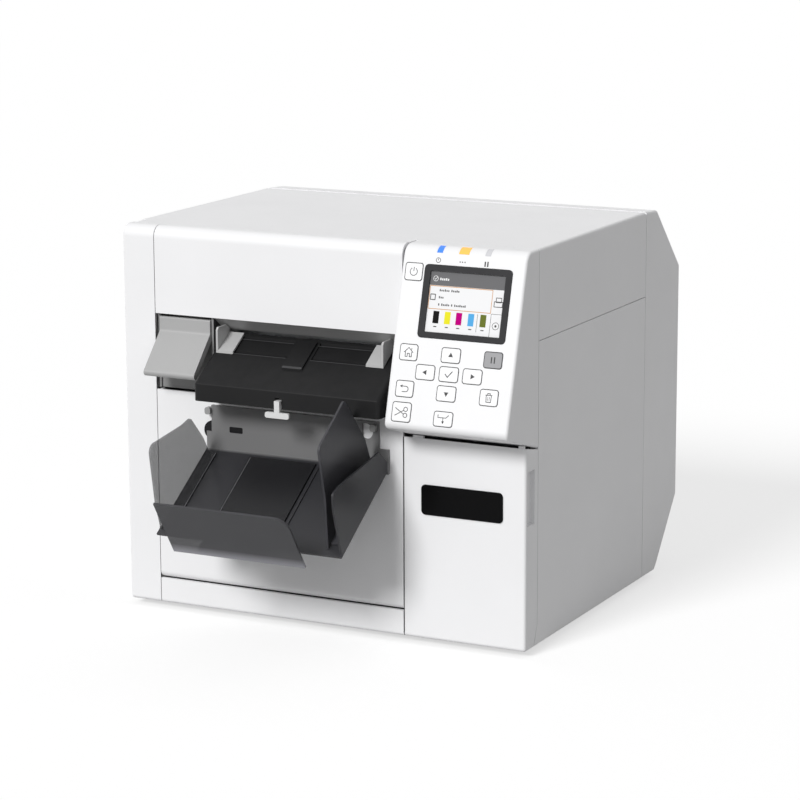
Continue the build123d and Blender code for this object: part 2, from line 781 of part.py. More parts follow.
def release_lever():
    """A paddle that slopes forward from its hub. Its outline is measured from the hub's axis."""
    outline = [
        (-7.6, 6.0), (-7.7, -3.9), (-31.5, -29.9), (-28.2, -33.0), (-25.6, -30.6), (-4.0, -7.0),
        (0, -lever_hub_radius), (0, lever_hub_radius), (-5.0, 6.0),
    ]
    paddle = across([(lever_axis_y + y, lever_axis_z + z) for y, z in outline], lever_x,
                    [1.2, 3, 2.5, 1.2, 1, 2, 0, 0, 1])
    hub = rod(lever_x, lever_axis_y, lever_axis_z, lever_hub_radius)
    stubs = rod((lever_x[0] - cheek_w, lever_x[1] + cheek_w), lever_axis_y, lever_axis_z,
                lever_stub_radius)
    return paddle + hub + stubs


def lever_recess():
    """The grey pocket round the lever. Its cheeks carry the lever's pivot."""
    left = (strip_x[0] + 0.1, strip_x[0] + 0.1 + cheek_w)
    right = (lever_x[1] + cheek_gap, lever_x[1] + cheek_gap + cheek_w)
    low, high = roll_cover_top_z + 1.0, upper_panel_bottom_z - cheek_gap
    front_y, back_y = 4.5, 15.2
    bend_low, bend_high = lever_axis_z - 35.4, lever_axis_z - 5.4
    slope = [
        (front_y, low), (front_y, bend_low), (back_y, bend_high), (back_y, high),
        (back_y + 2, high), (back_y + 2, bend_high - 0.4), (front_y + 2.1, bend_low - 0.4),
        (front_y + 2.1, low),
    ]
    side = [
        (front_y - 1.5, low), (front_y - 1.5, high), (back_y + 2, high),
        (back_y + 2, bend_high - 0.4), (2 * front_y, low),
    ]
    piece = across(slope, (left[0], right[1])) + across(side, left) + across(side, right)
    bore = lever_stub_radius + running_gap
    return piece - rod((left[0] - 1, right[1] + 1), lever_axis_y, lever_axis_z, bore)


def label_exit_guide():
    x = (lever_x[1] + cheek_gap + cheek_w, centre_wall_x)
    high = upper_panel_bottom_z - cheek_gap
    low = paper_z - exit_drop
    band = [
        (exit_high_y, high), (exit_low_y, low), (blade_y - 0.5, low + 0.4), (blade_y - 0.5, low + 2.4),
        (exit_low_y + 1.0, low + 2.4), (exit_high_y + 4, high),
    ]
    return across(band, x, [0, 1, 0, 0, 0, 0])


# The label bin hangs on the roll cover in front of the casing.
bin_tilt = math.atan(bin_slope)
bin_down = Axis((0, bin_top_y, bin_top_z), (0, -math.cos(bin_tilt), -math.sin(bin_tilt)))


def bin_point(u, n):
    """A point of the bin's side view as (y, z)."""
    return (bin_top_y - u * math.cos(bin_tilt) - n * math.sin(bin_tilt),
            bin_top_z - u * math.sin(bin_tilt) + n * math.cos(bin_tilt))


def bin_slab(outline, x, rounds=0.0):
    return across([bin_point(u, n) for u, n in outline], x, rounds)


def bin_block(x, u, n):
    return bin_slab([(u[0], n[0]), (u[1], n[0]), (u[1], n[1]), (u[0], n[1])], x)


def bin_tray():
    """The bin's floor, its back plate and its fixed right side."""
    floor = bin_block((bin_left_x, bin_right_x), (0, bin_length), (0, bin_floor_t))
    back_z = bin_point(0, 0)[1] - 3
    back = block(bin_back_x, (-bin_back_t, 0), (back_z, bin_back_top_z))
    ears = block((bin_left_x, bin_right_x), (-bin_back_t, 0), (back_z, bin_top_z + 14))
    side = bin_slab([(-4, 0), (2.3, 19.9), (56, 42.4), (65.7, 44.6), (71, 34.6), (80.3, 0)],
                    (bin_right_x - bin_wall_t, bin_right_x), [0, 0, 0, 3, 6, 0])
    side &= block((0, half), (-depth, 0), (0, top))
    heel = bin_block((bin_left_x, bin_right_x), (-12, 1), (0, bin_floor_t))
    heel &= block((-half, half), (-20, 0), (0, top))
    piece = floor + back + ears + side + heel
    for x in bin_rail_x:
        rail = bin_block((x - 1, x + 1), (4, bin_length - 2), (bin_floor_t - 0.1, bin_floor_t + bin_rail_h))
        piece += rail
    notch = Pos(notch_x, 0, bin_back_top_z - 7) * Rot(90, 0, 0) * Cylinder(notch_radius, 20)
    return piece - (notch & block((notch_x - 3, notch_x + notch_radius), (-20, 20), (0, top)))


def bin_left_wall():
    outline = [(2, bin_floor_t + bin_play), (2, 15), (6.3, 38), (17, 41.5), (56, 60.5),
               (73, 21.7), (78, bin_floor_t + bin_play)]
    side = bin_slab(outline, (bin_left_wall_x, bin_left_wall_x + bin_wall_t), [0, 4, 3, 0, 6, 4, 0])
    foot = bin_block((bin_left_wall_x, bin_left_wall_x + bin_foot_w), (4, 74),
                     (bin_floor_t + bin_play, bin_floor_t + bin_play + bin_foot_t))
    return side + foot


def bin_right_wall():
    outline = [(0, bin_floor_t + bin_play), (-3.0, 26.7), (3.4, 68.7), (48, 67.5),
               (60, 33), (77, bin_floor_t + bin_play)]
    side = bin_slab(outline, (bin_right_wall_x, bin_right_wall_x + bin_wall_t), [0, 3, 2.5, 6, 8, 0])
    foot = bin_block((bin_right_wall_x, bin_right_wall_x + 7), (4, 73),
                     (bin_floor_t + bin_play, bin_floor_t + bin_play + bin_foot_t))
    piece = side + foot
    return piece & block((-half, half), (-depth, -bin_back_t - bin_play), (0, top))


def bin_front_stop():
    """The stop at the end of the bin, on a flat slide that runs out of the floor."""
    low = bin_floor_t + bin_play
    slide = bin_block(stop_slide_x, (stop_slide_back_u, stop_u + bin_wall_t), (low, low + stop_slide_t))
    plate = bin_block(stop_x, (stop_u, stop_u + bin_wall_t), (low, stop_height))
    corner = plate.edges().filter_by(bin_down).group_by(Axis.Z)[-1].sort_by(Axis.X)[-1]
    plate = fillet(corner, stop_round)
    return slide + plate


# Inside the printer
frame_left_x = (-frame_x_out, frame_sheet - frame_x_out)
frame_right_x = (frame_x_out - frame_sheet, frame_x_out)
floor_z = foot_height + 3


def side_frames():
    """Steel plates: one at each side and one beside the ink bay."""
    bores = [(shaft_y, shaft_z, shaft_radius), (feed_y, paper_z - feed_radius, feed_shaft_radius)]
    plates = []
    for x in (frame_left_x, frame_right_x):
        plate = block(x, (frame_front_y, frame_back_y), (floor_z, frame_top_z))
        inner = 1 if x[0] < 0 else -1
        near = sorted((x[1] if x[0] < 0 else x[0], inner * -(lid_lug_x - lug_width / 2)))
        ear_y = (lid_axis_y - lug_radius, lid_axis_y + lug_radius)
        plate += block(near, ear_y, (frame_top_z - 8, frame_top_z))
        side = -inner
        ear_x = sorted((side * (lid_lug_x - lug_width / 2), side * (lid_lug_x + lug_width / 2)))
        plate += block(ear_x, ear_y, (frame_top_z - 8, lid_axis_z))
        plate += rod(ear_x, lid_axis_y, lid_axis_z, lug_radius)
        plate -= rod(ear_x, lid_axis_y, lid_axis_z, lid_pin_radius + running_gap)
        for y, z, r in bores:
            plate -= rod((x[0] - 1, x[1] + 1), y, z, r + running_gap)
        plates.append(plate)
    middle_x = (centre_wall_x, centre_wall_x + frame_sheet)
    middle = block(middle_x, (10.0, frame_back_y), (floor_z, centre_wall_top_z))
    middle -= rod((middle_x[0] - 1, middle_x[1] + 1), feed_y, paper_z - feed_radius,
                  feed_shaft_radius + running_gap)
    plates.append(middle)
    return Compound(plates)


def carriage_shaft():
    return rod((-frame_x_out - 1, frame_x_out + 1), shaft_y, shaft_z, shaft_radius)


def print_carriage():
    """The carriage with its print head below and the clip that holds the belt."""
    body = block(carriage_x, carriage_y, (carriage_z[0] + 6, carriage_z[1]))
    body = fillet(body.edges().filter_by(Axis.Z), 3)
    head = block((carriage_x[0] + 8, carriage_x[1] - 8), (carriage_y[0] + 10, carriage_y[1] - 10),
                 (carriage_z[0], carriage_z[0] + 7))
    clip_x = ((carriage_x[0] + carriage_x[1]) / 2 - 8, (carriage_x[0] + carriage_x[1]) / 2 + 8)
    clip = block(clip_x, (carriage_y[1] - 1, belt_y - belt_t - belt_gap),
                 (belt_z - belt_height, belt_z + belt_height))
    piece = body + head + clip
    return piece - rod((carriage_x[0] - 1, carriage_x[1] + 1), shaft_y, shaft_z,
                       shaft_radius + running_gap)


def carriage_drive():
    """The carriage's toothed belt, its motor with the drive pulley, and the idler pulley."""
    y = belt_y + pulley_radius
    outer = SlotCenterToCenter(2 * pulley_x, 2 * (pulley_radius + belt_t))
    inner = SlotCenterToCenter(2 * pulley_x, 2 * pulley_radius)
    belt = Pos(0, y, belt_z - belt_height / 2) * extrude(outer - inner, amount=belt_height)
    motor_z = (belt_z - pulley_drop - motor_height, belt_z - pulley_drop)
    pulley_z = (belt_z - pulley_drop, belt_z + belt_height / 2 + 1)
    motor = post(-pulley_x, y, motor_z, motor_radius)
    pulley = post(-pulley_x, y, pulley_z, pulley_radius)
    bracket = block((frame_left_x[1], -pulley_x), (y - 8, y + 8), (motor_z[0] - 1.5, motor_z[0]))
    idler = post(pulley_x, y, pulley_z, pulley_radius)
    stand = block((pulley_x - 8, frame_right_x[0]), (y - 8, y + 8), (pulley_z[0] - 2, pulley_z[0]))
    return Compound([belt, motor + pulley + bracket, idler + stand])


def platen():
    x = (-frame_x_out + frame_sheet, centre_wall_x)
    return block(x, platen_y, (paper_z - 1 - platen_t, paper_z - 1))


def gear_wheel(x, y, z, radius, teeth, phase):
    """A spur gear on an X axis with straight-sided teeth."""
    step = 360 / teeth
    root = radius - 1.15 * gear_module
    tip = radius + 0.9 * gear_module
    points = []
    for i in range(teeth):
        for share, r in ((-0.30, root), (-0.13, tip), (0.13, tip), (0.30, root)):
            a = math.radians(phase + (i + share) * step)
            points.append((x[0], y + r * math.cos(a), z + r * math.sin(a)))
    return extrude(make_face(Polyline(*points, close=True)), amount=x[1] - x[0], dir=(1, 0, 0))


feed_z = paper_z - feed_radius
gear_teeth = int(2 * gear_radius / gear_module)
pinion_teeth = int(2 * pinion_radius / gear_module)
gear_distance = gear_radius + pinion_radius + 0.15
pinion_y = feed_y + gear_distance * math.cos(math.radians(mesh_angle))
pinion_z = feed_z + gear_distance * math.sin(math.radians(mesh_angle))


def feed_roller():
    """The rubber roller that drives the label web, its shaft and its gear."""
    x = (paper_x - feed_length / 2, paper_x + feed_length / 2)
    roller = rod(x, feed_y, feed_z, feed_radius)
    shaft = rod((-frame_x_out - 1, centre_wall_x + frame_sheet + 1), feed_y, feed_z, feed_shaft_radius)
    gear = gear_wheel((gear_x, gear_x + gear_width), feed_y, feed_z, gear_radius, gear_teeth,
                      mesh_angle)
    return roller + shaft + gear


def feed_pinion():
    gear = gear_wheel((gear_x, gear_x + gear_width), pinion_y, pinion_z, pinion_radius, pinion_teeth,
                      mesh_angle + 180 + 180 / pinion_teeth)
    shaft = rod((gear_x - 1, gear_x + gear_width + 7.2), pinion_y, pinion_z, pinion_shaft_radius)
    return gear + shaft


def feed_motor():
    """The feed motor on its bracket, which stands out from the left frame plate."""
    front = gear_x + gear_width + 3
    body = rod((front, front + feed_motor_length), pinion_y, pinion_z, feed_motor_radius)
    y = (pinion_y - feed_motor_radius, pinion_y + feed_motor_radius)
    foot_z = pinion_z - feed_motor_radius - 2
    plate = block((front - 1.5, front), y, (foot_z, pinion_z + feed_motor_radius))
    bore = pinion_shaft_radius + running_gap
    hollow = rod((front - 3, front + 5), pinion_y, pinion_z, bore)
    foot = block((frame_left_x[1], front), y, (foot_z - 1.5, foot_z))
    return body + plate + foot - hollow


def pinch_roller():
    """The free roller that presses the label on the feed roller."""
    x = (paper_x - feed_length / 2 + 10, paper_x + feed_length / 2 - 10)
    z = paper_z + pinch_lift + pinch_radius
    shaft = rod((x[0] - 6, x[1] + 6), feed_y, z, pinch_shaft_radius)
    return rod(x, feed_y, z, pinch_radius) + shaft


def cutter_beam():
    """The beam over the label slot that guides the cutter, with arms for the pinch roller."""
    x = (-frame_x_out + frame_sheet, centre_wall_x + frame_sheet)
    beam_y = (blade_y + 2 * (blade_t + blade_gap), feed_y - 12)
    beam = block(x, beam_y, cutter_beam_z)
    tail = block((centre_wall_x, centre_wall_x + frame_sheet), beam_y,
                 (centre_wall_top_z, cutter_beam_z[0] + 1))
    piece = beam + tail
    z = paper_z + pinch_lift + pinch_radius
    for at in (paper_x - feed_length / 2 + 4.8, paper_x + feed_length / 2 - 8.8):
        arm = block((at, at + 4), (beam_y[1] - 2, feed_y + 3.5), (z - 3.5, z + 3.5))
        piece += arm - rod((at - 1, at + 5), feed_y, z, pinch_shaft_radius + running_gap)
    return piece


def fixed_blade():
    x = (-frame_x_out + frame_sheet, centre_wall_x)
    body = block(x, (blade_y, blade_y + blade_t), (paper_z - 20, paper_z - 1.2))
    return body


def moving_blade():
    """The blade that comes down to cut the label; its edge is slightly slanted."""
    y = blade_y + blade_t + blade_gap
    outline = Polyline((blade_x[0], y, paper_z + 1.6), (blade_x[1], y, paper_z + 3.4),
                       (blade_x[1], y, paper_z + 12), (blade_x[0], y, paper_z + 12), close=True)
    return extrude(make_face(outline), amount=blade_t, dir=(0, 1, 0))


def label_roll():
    x = (paper_x - roll_width / 2, paper_x + roll_width / 2)
    return rod(x, roll_y, roll_z, roll_radius) - rod((x[0] - 1, x[1] + 1), roll_y, roll_z, core_radius)


saddle_left_x = paper_x - roll_width / 2 - 14
saddle_right_x = paper_x + roll_width / 2 + 10


def roll_spindle():
    """The spindle in the roll's core, with a flange at each end and journals in the saddles."""
    x = (paper_x - roll_width / 2, paper_x + roll_width / 2)
    piece = rod(x, roll_y, roll_z, spindle_radius)
    piece += rod((x[0] - roll_flange_t, x[0]), roll_y, roll_z, roll_flange_radius)
    piece += rod((x[1], x[1] + roll_flange_t), roll_y, roll_z, roll_flange_radius)
    piece += rod((saddle_left_x - 2, saddle_right_x + saddle_t + 2), roll_y, roll_z, journal_radius)
    return piece


def roll_saddles():
    """Two uprights on the floor with open tops that the spindle's journals drop into."""
    saddles = []
    for x in (saddle_left_x, saddle_right_x):
        span = (x, x + saddle_t)
        upright = block(span, (roll_y - saddle_wrap, roll_y + saddle_wrap), (floor_z, roll_z + 8))
        upright -= rod(span, roll_y, roll_z, journal_radius + running_gap)
        upright -= block(span, (roll_y - journal_radius - running_gap,
                                roll_y + journal_radius + running_gap), (roll_z, roll_z + 9))
        foot = block((x - 6, x + saddle_t + 6), (roll_y - 14, roll_y + 14), (floor_z, floor_z + 3))
        saddles.append(upright + foot)
    return Compound(saddles)


cell = (bay_x[1] - bay_x[0] - bay_wall) / cartridge_count


def ink_bay():
    """An open-fronted rack with one cell for each ink cartridge above the maintenance box."""
    shelf_z = bay_floor_z + bay_wall + box_height + 1
    piece = block(bay_x, bay_y, (bay_floor_z - 3, bay_top_z))
    for i in range(cartridge_count):
        x = bay_x[0] + bay_wall + i * cell
        piece -= block((x, x + cell - bay_wall), (bay_y[0] - 1, bay_y[1] - bay_wall),
                       (shelf_z + bay_wall, bay_top_z - bay_wall))
    piece -= block((bay_x[0] + bay_wall, bay_x[1] - bay_wall), (bay_y[0] - 1, bay_y[1] - bay_wall),
                   (bay_floor_z, shelf_z))
    return piece


def ink_cartridges():
    """Four flat ink cartridges with rounded fronts and a finger lip."""
    shelf = bay_floor_z + bay_wall + box_height + 1 + bay_wall
    made = []
    for i in range(cartridge_count):
        x = bay_x[0] + bay_wall + i * cell
        span = (x + cartridge_gap, x + cell - bay_wall - cartridge_gap)
        body = block(span, (cartridge_front_y, cartridge_front_y + cartridge_depth),
                     (shelf, bay_top_z - bay_wall - cartridge_headroom))
        body = fillet(body.edges().filter_by(Axis.Z).group_by(Axis.Y)[0], 2)
        lip = block((span[0] + 4, span[1] - 4), (cartridge_front_y - 3, cartridge_front_y + 1),
                    (shelf + 60, shelf + 64))
        made.append(body + lip)
    return Compound(made)


def maintenance_box():
    x = (bay_x[0] + bay_wall + 1, bay_x[1] - bay_wall - 1)
    body = block(x, (cartridge_front_y, cartridge_front_y + box_depth),
                 (bay_floor_z, bay_floor_z + box_height))
    grip = block(((x[0] + x[1]) / 2 - 15, (x[0] + x[1]) / 2 + 15),
                 (cartridge_front_y - 3, cartridge_front_y + 1),
                 (bay_floor_z + 10, bay_floor_z + 16))
    return body + grip


def mainboard():
    """The main circuit board on edge behind the paper path, on a bracket from the floor."""
    board = block(mainboard_x, (mainboard_y, mainboard_y + board_thickness), mainboard_z)
    for x in (mainboard_x[0] + 6, mainboard_x[1] - 12):
        board += block((x, x + 6), (mainboard_y + board_thickness, mainboard_y + board_thickness + bracket_t),
                       (floor_z, mainboard_z[0] + 10))
    for left, up, w, h in ((40, 84, 30, 30), (100, 74, 22, 22), (140, 34, 16, 40)):
        x, z = mainboard_x[0] + left, mainboard_z[0] + up
        board += block((x - w / 2, x + w / 2), (mainboard_y - 3, mainboard_y), (z - h / 2, z + h / 2))
    return board


def power_supply():
    body = block(supply_x, supply_y, supply_z)
    return fillet(body.edges().filter_by(Axis.Y), 2)


def rear_sockets():
    """The power inlet, network and data sockets, on a plate inside the rear cover."""
    back = depth - 0.6
    low, high = socket_z - socket_plate_h / 2, socket_z + socket_plate_h / 2
    plate_y = depth - wall - 11
    shelf_y = mainboard_y + board_thickness + bracket_t
    plate = block(socket_plate_x, (plate_y - bracket_t, plate_y), (low, high))
    plate += block(socket_plate_x, (shelf_y, plate_y), (low, low + bracket_t))
    for x, w, h in sockets:
        shell = block((x - w / 2, x + w / 2), (plate_y - 1, back), (socket_z - h / 2, socket_z + h / 2))
        shell -= block((x - w / 2 + socket_wall, x + w / 2 - socket_wall), (plate_y + 1, back + 1),
                       (socket_z - h / 2 + socket_wall, socket_z + h / 2 - socket_wall))
        plate += shell
    return plate


def badge_plate():
    middle = ((badge_x[0] + badge_x[1]) / 2, (badge_z[0] + badge_z[1]) / 2)
    flat = Plane.XZ * Pos(middle[0], middle[1]) * RectangleRounded(
        badge_x[1] - badge_x[0], badge_z[1] - badge_z[0], badge_round)
    return extrude(flat, amount=badge_t)


def build():
    skin = casing_skin()
    shell = housing_shell()
    pieces = {
        "left_side_cover": left_side_cover(skin),
        "right_side_cover": right_side_cover(skin),
        "rear_cover": rear_cover(skin),
        "top_cover": top_cover(skin),
        "upper_front_panel": upper_front_panel(skin),
        "front_sill": front_sill(skin),
        "roll_cover": roll_cover(skin),
        "ink_door": ink_door(skin),
        "badge_plate": badge_plate(),
        "base_tray": base_tray(),
        "rubber_feet": rubber_feet(),
        "hinge_pins": hinge_pins(),
        "control_panel_housing": control_panel_housing(shell),
        "status_lights": status_lights(shell),
        "lcd_frame": lcd_frame(),
        "lcd_screen": lcd_screen(),
        "key_board": key_board(),
        "ejection_table": ejection_table(),
        "left_paper_guide": paper_guide(left_guide_x, 1),
        "right_paper_guide": paper_guide(right_guide_x, -1),
        "guide_lock": guide_lock(),
        "release_lever": release_lever(),
        "lever_recess": lever_recess(),
        "label_exit_guide": label_exit_guide(),
        "bin_tray": bin_tray(),
        "bin_left_wall": bin_left_wall(),
        "bin_right_wall": bin_right_wall(),
        "bin_front_stop": bin_front_stop(),
        "side_frames": side_frames(),
        "carriage_shaft": carriage_shaft(),
        "print_carriage": print_carriage(),
        "carriage_drive": carriage_drive(),
        "platen": platen(),
        "feed_roller": feed_roller(),
        "feed_pinion": feed_pinion(),
        "feed_motor": feed_motor(),
        "pinch_roller": pinch_roller(),
        "cutter_frame": Compound([cutter_beam(), fixed_blade()]),
        "moving_blade": moving_blade(),
        "label_roll": label_roll(),
        "roll_spindle": roll_spindle(),
        "roll_saddles": roll_saddles(),
        "ink_bay": ink_bay(),
        "ink_cartridges": ink_cartridges(),
        "maintenance_box": maintenance_box(),
        "mainboard": mainboard(),
        "power_supply": power_supply(),
        "rear_sockets": rear_sockets(),
    }
    for name, place in keys.items():
        pieces[name] = key_cap_piece(*place)
    return pieces


pieces = build()
whole = Compound([copy for piece in pieces.values() for copy in piece.solids()]).bounding_box()
shift_y = -(whole.min.Y + whole.max.Y) / 2
os.makedirs("parts", exist_ok=True)
for name, piece in pieces.items():
    solids = [solid.moved(Location((0, shift_y, 0))) for solid in piece.solids()]
    export_step(solids[0] if len(solids) == 1 else Compound(solids), f"parts/{name}.step")
print("moved in Y by", round(shift_y, 3))
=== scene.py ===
import json

import bmesh
import bpy
import numpy as np
from mathutils import Matrix, Vector

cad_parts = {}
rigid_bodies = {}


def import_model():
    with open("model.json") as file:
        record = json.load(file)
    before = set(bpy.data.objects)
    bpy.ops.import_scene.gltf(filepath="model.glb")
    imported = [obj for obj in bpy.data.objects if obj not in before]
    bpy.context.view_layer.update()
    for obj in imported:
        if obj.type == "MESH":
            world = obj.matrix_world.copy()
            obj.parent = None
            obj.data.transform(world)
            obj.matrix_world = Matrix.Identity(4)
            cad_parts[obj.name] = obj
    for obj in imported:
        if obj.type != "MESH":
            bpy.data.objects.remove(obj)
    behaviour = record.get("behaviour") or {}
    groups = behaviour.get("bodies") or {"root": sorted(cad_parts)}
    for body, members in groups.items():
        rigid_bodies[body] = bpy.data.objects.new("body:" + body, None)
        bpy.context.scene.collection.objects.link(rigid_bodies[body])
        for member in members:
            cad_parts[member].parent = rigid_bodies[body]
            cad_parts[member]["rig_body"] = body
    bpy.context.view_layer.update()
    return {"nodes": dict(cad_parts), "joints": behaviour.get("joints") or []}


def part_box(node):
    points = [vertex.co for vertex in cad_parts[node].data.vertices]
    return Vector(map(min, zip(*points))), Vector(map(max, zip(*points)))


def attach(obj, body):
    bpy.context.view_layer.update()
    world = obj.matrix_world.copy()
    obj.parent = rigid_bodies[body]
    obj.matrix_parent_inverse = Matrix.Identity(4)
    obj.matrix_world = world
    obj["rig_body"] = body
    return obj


for spare in list(bpy.data.objects):
    bpy.data.objects.remove(spare)
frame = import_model()
cad = frame["nodes"]


# Base tray and feet
# The tray is moulded in dark grey ABS and carries the whole printer. Four soft rubber feet are
# pressed into it from below.

def finish(name, colour, roughness, sockets={}):
    """A plastic, metal or paper surface of one colour and roughness, with any other shader sockets set."""
    material = bpy.data.materials.new(name)
    material.use_nodes = True
    shader = material.node_tree.nodes["Principled BSDF"]
    shader.inputs["Base Color"].default_value = (*colour, 1)
    shader.inputs["Roughness"].default_value = roughness
    for socket, value in sockets.items():
        shader.inputs[socket].default_value = value
    return material


def node(material, kind, links={}, **settings):
    """Adds a node. links gives its inputs, as sockets to join or as plain values."""
    tree = material.node_tree
    made = tree.nodes.new("ShaderNode" + kind)
    for name, value in settings.items():
        setattr(made, name, value)
    for name, value in links.items():
        if isinstance(value, bpy.types.NodeSocket):
            tree.links.new(value, made.inputs[name])
        else:
            made.inputs[name].default_value = value
    return made


def noise(material, scale, stretch=(1, 1, 1), detail=3.0):
    """Cloudy noise over the piece, about scale features to a metre, drawn out along an axis by stretch."""
    place = node(material, "TexCoord").outputs["Object"]
    place = node(material, "Mapping", {"Vector": place, "Scale": stretch}).outputs["Vector"]
    return node(material, "TexNoise", {"Vector": place, "Scale": scale, "Detail": detail}).outputs["Fac"]


def plug(material, value, socket):
    """Joins a value to one of the shader's sockets."""
    shader = material.node_tree.nodes["Principled BSDF"]
    material.node_tree.links.new(value, shader.inputs[socket])


def bumps(material, height, depth, strength):
    """Raises and sinks the surface by a height from 0 to 1, depth metres at most."""
    bump = node(material, "Bump", {"Height": height, "Distance": depth, "Strength": strength})
    plug(material, bump.outputs["Normal"], "Normal")


def blends(material, value, socket, low, high, start=0.3, end=0.7):
    """Runs a shader socket from low to high, numbers or colours, as a value goes from start to end."""
    reach = {"Value": value, "From Min": start, "From Max": end}
    if isinstance(low, tuple):
        ramp = node(material, "ValToRGB", {"Fac": node(material, "MapRange", reach).outputs["Result"]})
        first, last = ramp.color_ramp.elements
        first.color, last.color = (*low, 1), (*high, 1)
        found = ramp.outputs["Color"]
    else:
        found = node(material, "MapRange", {**reach, "To Min": low, "To Max": high}).outputs["Result"]
    plug(material, found, socket)
    return found


def dress(material, *names):
    """Gives pieces of the printer their finish."""
    for name in names:
        cad[name].material_slots[0].material = material


tray_grey = finish("tray_grey", (0.06, 0.06, 0.065), 0.55)
blends(tray_grey, noise(tray_grey, 30), "Base Color", (0.055, 0.055, 0.06), (0.07, 0.07, 0.075))
bumps(tray_grey, noise(tray_grey, 1800), 0.0001, 0.4)
dress(tray_grey, "base_tray", "roll_saddles")
foot_rubber = finish("foot_rubber", (0.02, 0.02, 0.02), 0.85, {"Specular IOR Level": 0.3})
bumps(foot_rubber, noise(foot_rubber, 2500), 0.0001, 0.5)
blends(foot_rubber, noise(foot_rubber, 200), "Roughness", 0.75, 0.95)
dress(foot_rubber, "rubber_feet")


# Frames, shafts and cutter
# The side frames, the platen and the cutter's frame are folded from zinc plated sheet. The carriage
# shaft, the hinge pins and the blade are ground steel, clipped or screwed to the frames.

zinc = finish("zinc_sheet", (0.55, 0.56, 0.58), 0.38, {"Metallic": 1.0})
blends(zinc, noise(zinc, 160), "Base Color", (0.5, 0.51, 0.53), (0.6, 0.61, 0.62))
blends(zinc, noise(zinc, 60), "Roughness", 0.32, 0.48)
bumps(zinc, noise(zinc, 900, (1, 12, 1)), 0.00005, 0.25)
dress(zinc, "side_frames", "platen", "cutter_frame")
ground_steel = finish("ground_steel", (0.7, 0.7, 0.71), 0.2, {"Metallic": 1.0})
blends(ground_steel, noise(ground_steel, 900, (20, 1, 1)), "Roughness", 0.15, 0.28)
dress(ground_steel, "carriage_shaft", "hinge_pins", "moving_blade")


# Feed and pinch rollers with their drive
# Black ground rubber is bonded to steel shafts. The motor drives the feed roller through a moulded
# acetal pinion, and the pinch roller is pressed on from above.

def from_axis(material, y, z):
    """Distance of a point from the line through y, z that runs along X."""
    place = node(material, "TexCoord").outputs["Object"]
    flat = node(material, "Mapping", {"Vector": place, "Location": (0, -y, -z), "Scale": (0, 1, 1)})
    return node(material, "VectorMath", {0: flat.outputs["Vector"]}, operation="LENGTH").outputs["Value"]


def middle_of(name):
    """The middle of a piece's box, in Y and Z."""
    low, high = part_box(name)
    return (low.y + high.y) / 2, (low.z + high.z) / 2


for roller, rubber_start in (("feed_roller", 0.0045), ("pinch_roller", 0.003)):
    rubber = finish(roller + "_rubber", (0.03, 0.03, 0.03), 0.7)
    distance = from_axis(rubber, *middle_of(roller))
    around = (rubber_start - 0.0002, rubber_start)
    blends(rubber, distance, "Base Color", (0.6, 0.6, 0.61), (0.03, 0.03, 0.032), *around)
    blends(rubber, distance, "Metallic", 1.0, 0.0, *around)
    blends(rubber, distance, "Roughness", 0.25, 0.75, *around)
    bumps(rubber, noise(rubber, 3000), 0.00008, 0.4)
    dress(rubber, roller)
acetal = finish("acetal", (0.72, 0.71, 0.66), 0.35, {"Subsurface Weight": 0.05})
blends(acetal, noise(acetal, 120), "Base Color", (0.7, 0.69, 0.63), (0.75, 0.74, 0.69))
dress(acetal, "feed_pinion", "roll_spindle")
motor_can = finish("motor_can", (0.45, 0.45, 0.47), 0.35, {"Metallic": 1.0})
blends(motor_can, noise(motor_can, 500, (1, 1, 8)), "Roughness", 0.28, 0.45)
dress(motor_can, "feed_motor")


# Label roll
# Die cut labels on their backing, wound on a card core. The roll's ends show the edges of the turns
# as fine rings, and the spindle's flanges keep it in place.

roll_paper = finish("roll_paper", (0.86, 0.86, 0.83), 0.6)
roll_y, roll_z = middle_of("label_roll")
place = node(roll_paper, "TexCoord").outputs["Object"]
centred = node(roll_paper, "Mapping", {"Vector": place, "Location": (0, -roll_y, -roll_z)}).outputs["Vector"]
turns = node(roll_paper, "TexWave", {"Vector": centred, "Scale": 260.0, "Distortion": 0.4, "Detail": 1.0},
             wave_type="RINGS", rings_direction="X").outputs["Fac"]
blends(roll_paper, turns, "Base Color", (0.7, 0.69, 0.65), (0.88, 0.88, 0.85), 0.1, 0.7)
bumps(roll_paper, turns, 0.0001, 0.3)
dress(roll_paper, "label_roll")


# Print carriage and its belt
# The carriage is a black moulding with the print head under it. The toothed belt and its pulleys are
# black rubber and steel, turned by a small motor at the right frame.

def place_on(material, axis):
    """How far a point lies along X, Y or Z, in metres."""
    place = node(material, "TexCoord").outputs["Object"]
    return node(material, "SeparateXYZ", {"Vector": place}).outputs[axis]


carriage_black = finish("carriage_black", (0.035, 0.035, 0.038), 0.45)
bumps(carriage_black, noise(carriage_black, 1500), 0.0001, 0.35)
blends(carriage_black, noise(carriage_black, 40), "Roughness", 0.38, 0.55)
dress(carriage_black, "print_carriage")
belt_metal = finish("belt_metal", (0.3, 0.3, 0.32), 0.4)
motor_side = (0.118, 0.119)
across = place_on(belt_metal, "X")
blends(belt_metal, across, "Base Color", (0.02, 0.02, 0.02), (0.5, 0.5, 0.52), *motor_side)
blends(belt_metal, across, "Metallic", 0.0, 1.0, *motor_side)
place = node(belt_metal, "TexCoord").outputs["Object"]
teeth = node(belt_metal, "TexWave", {"Vector": place, "Scale": 160.0}, bands_direction="X").outputs["Fac"]
bumps(belt_metal, teeth, 0.0002, 0.3)
dress(belt_metal, "carriage_drive")


# Ink bay, cartridges and maintenance box
# The bay is a black moulding with four slots. Each cartridge is a dark case with a coloured label on
# its front, and the grey maintenance box pushes in below them.

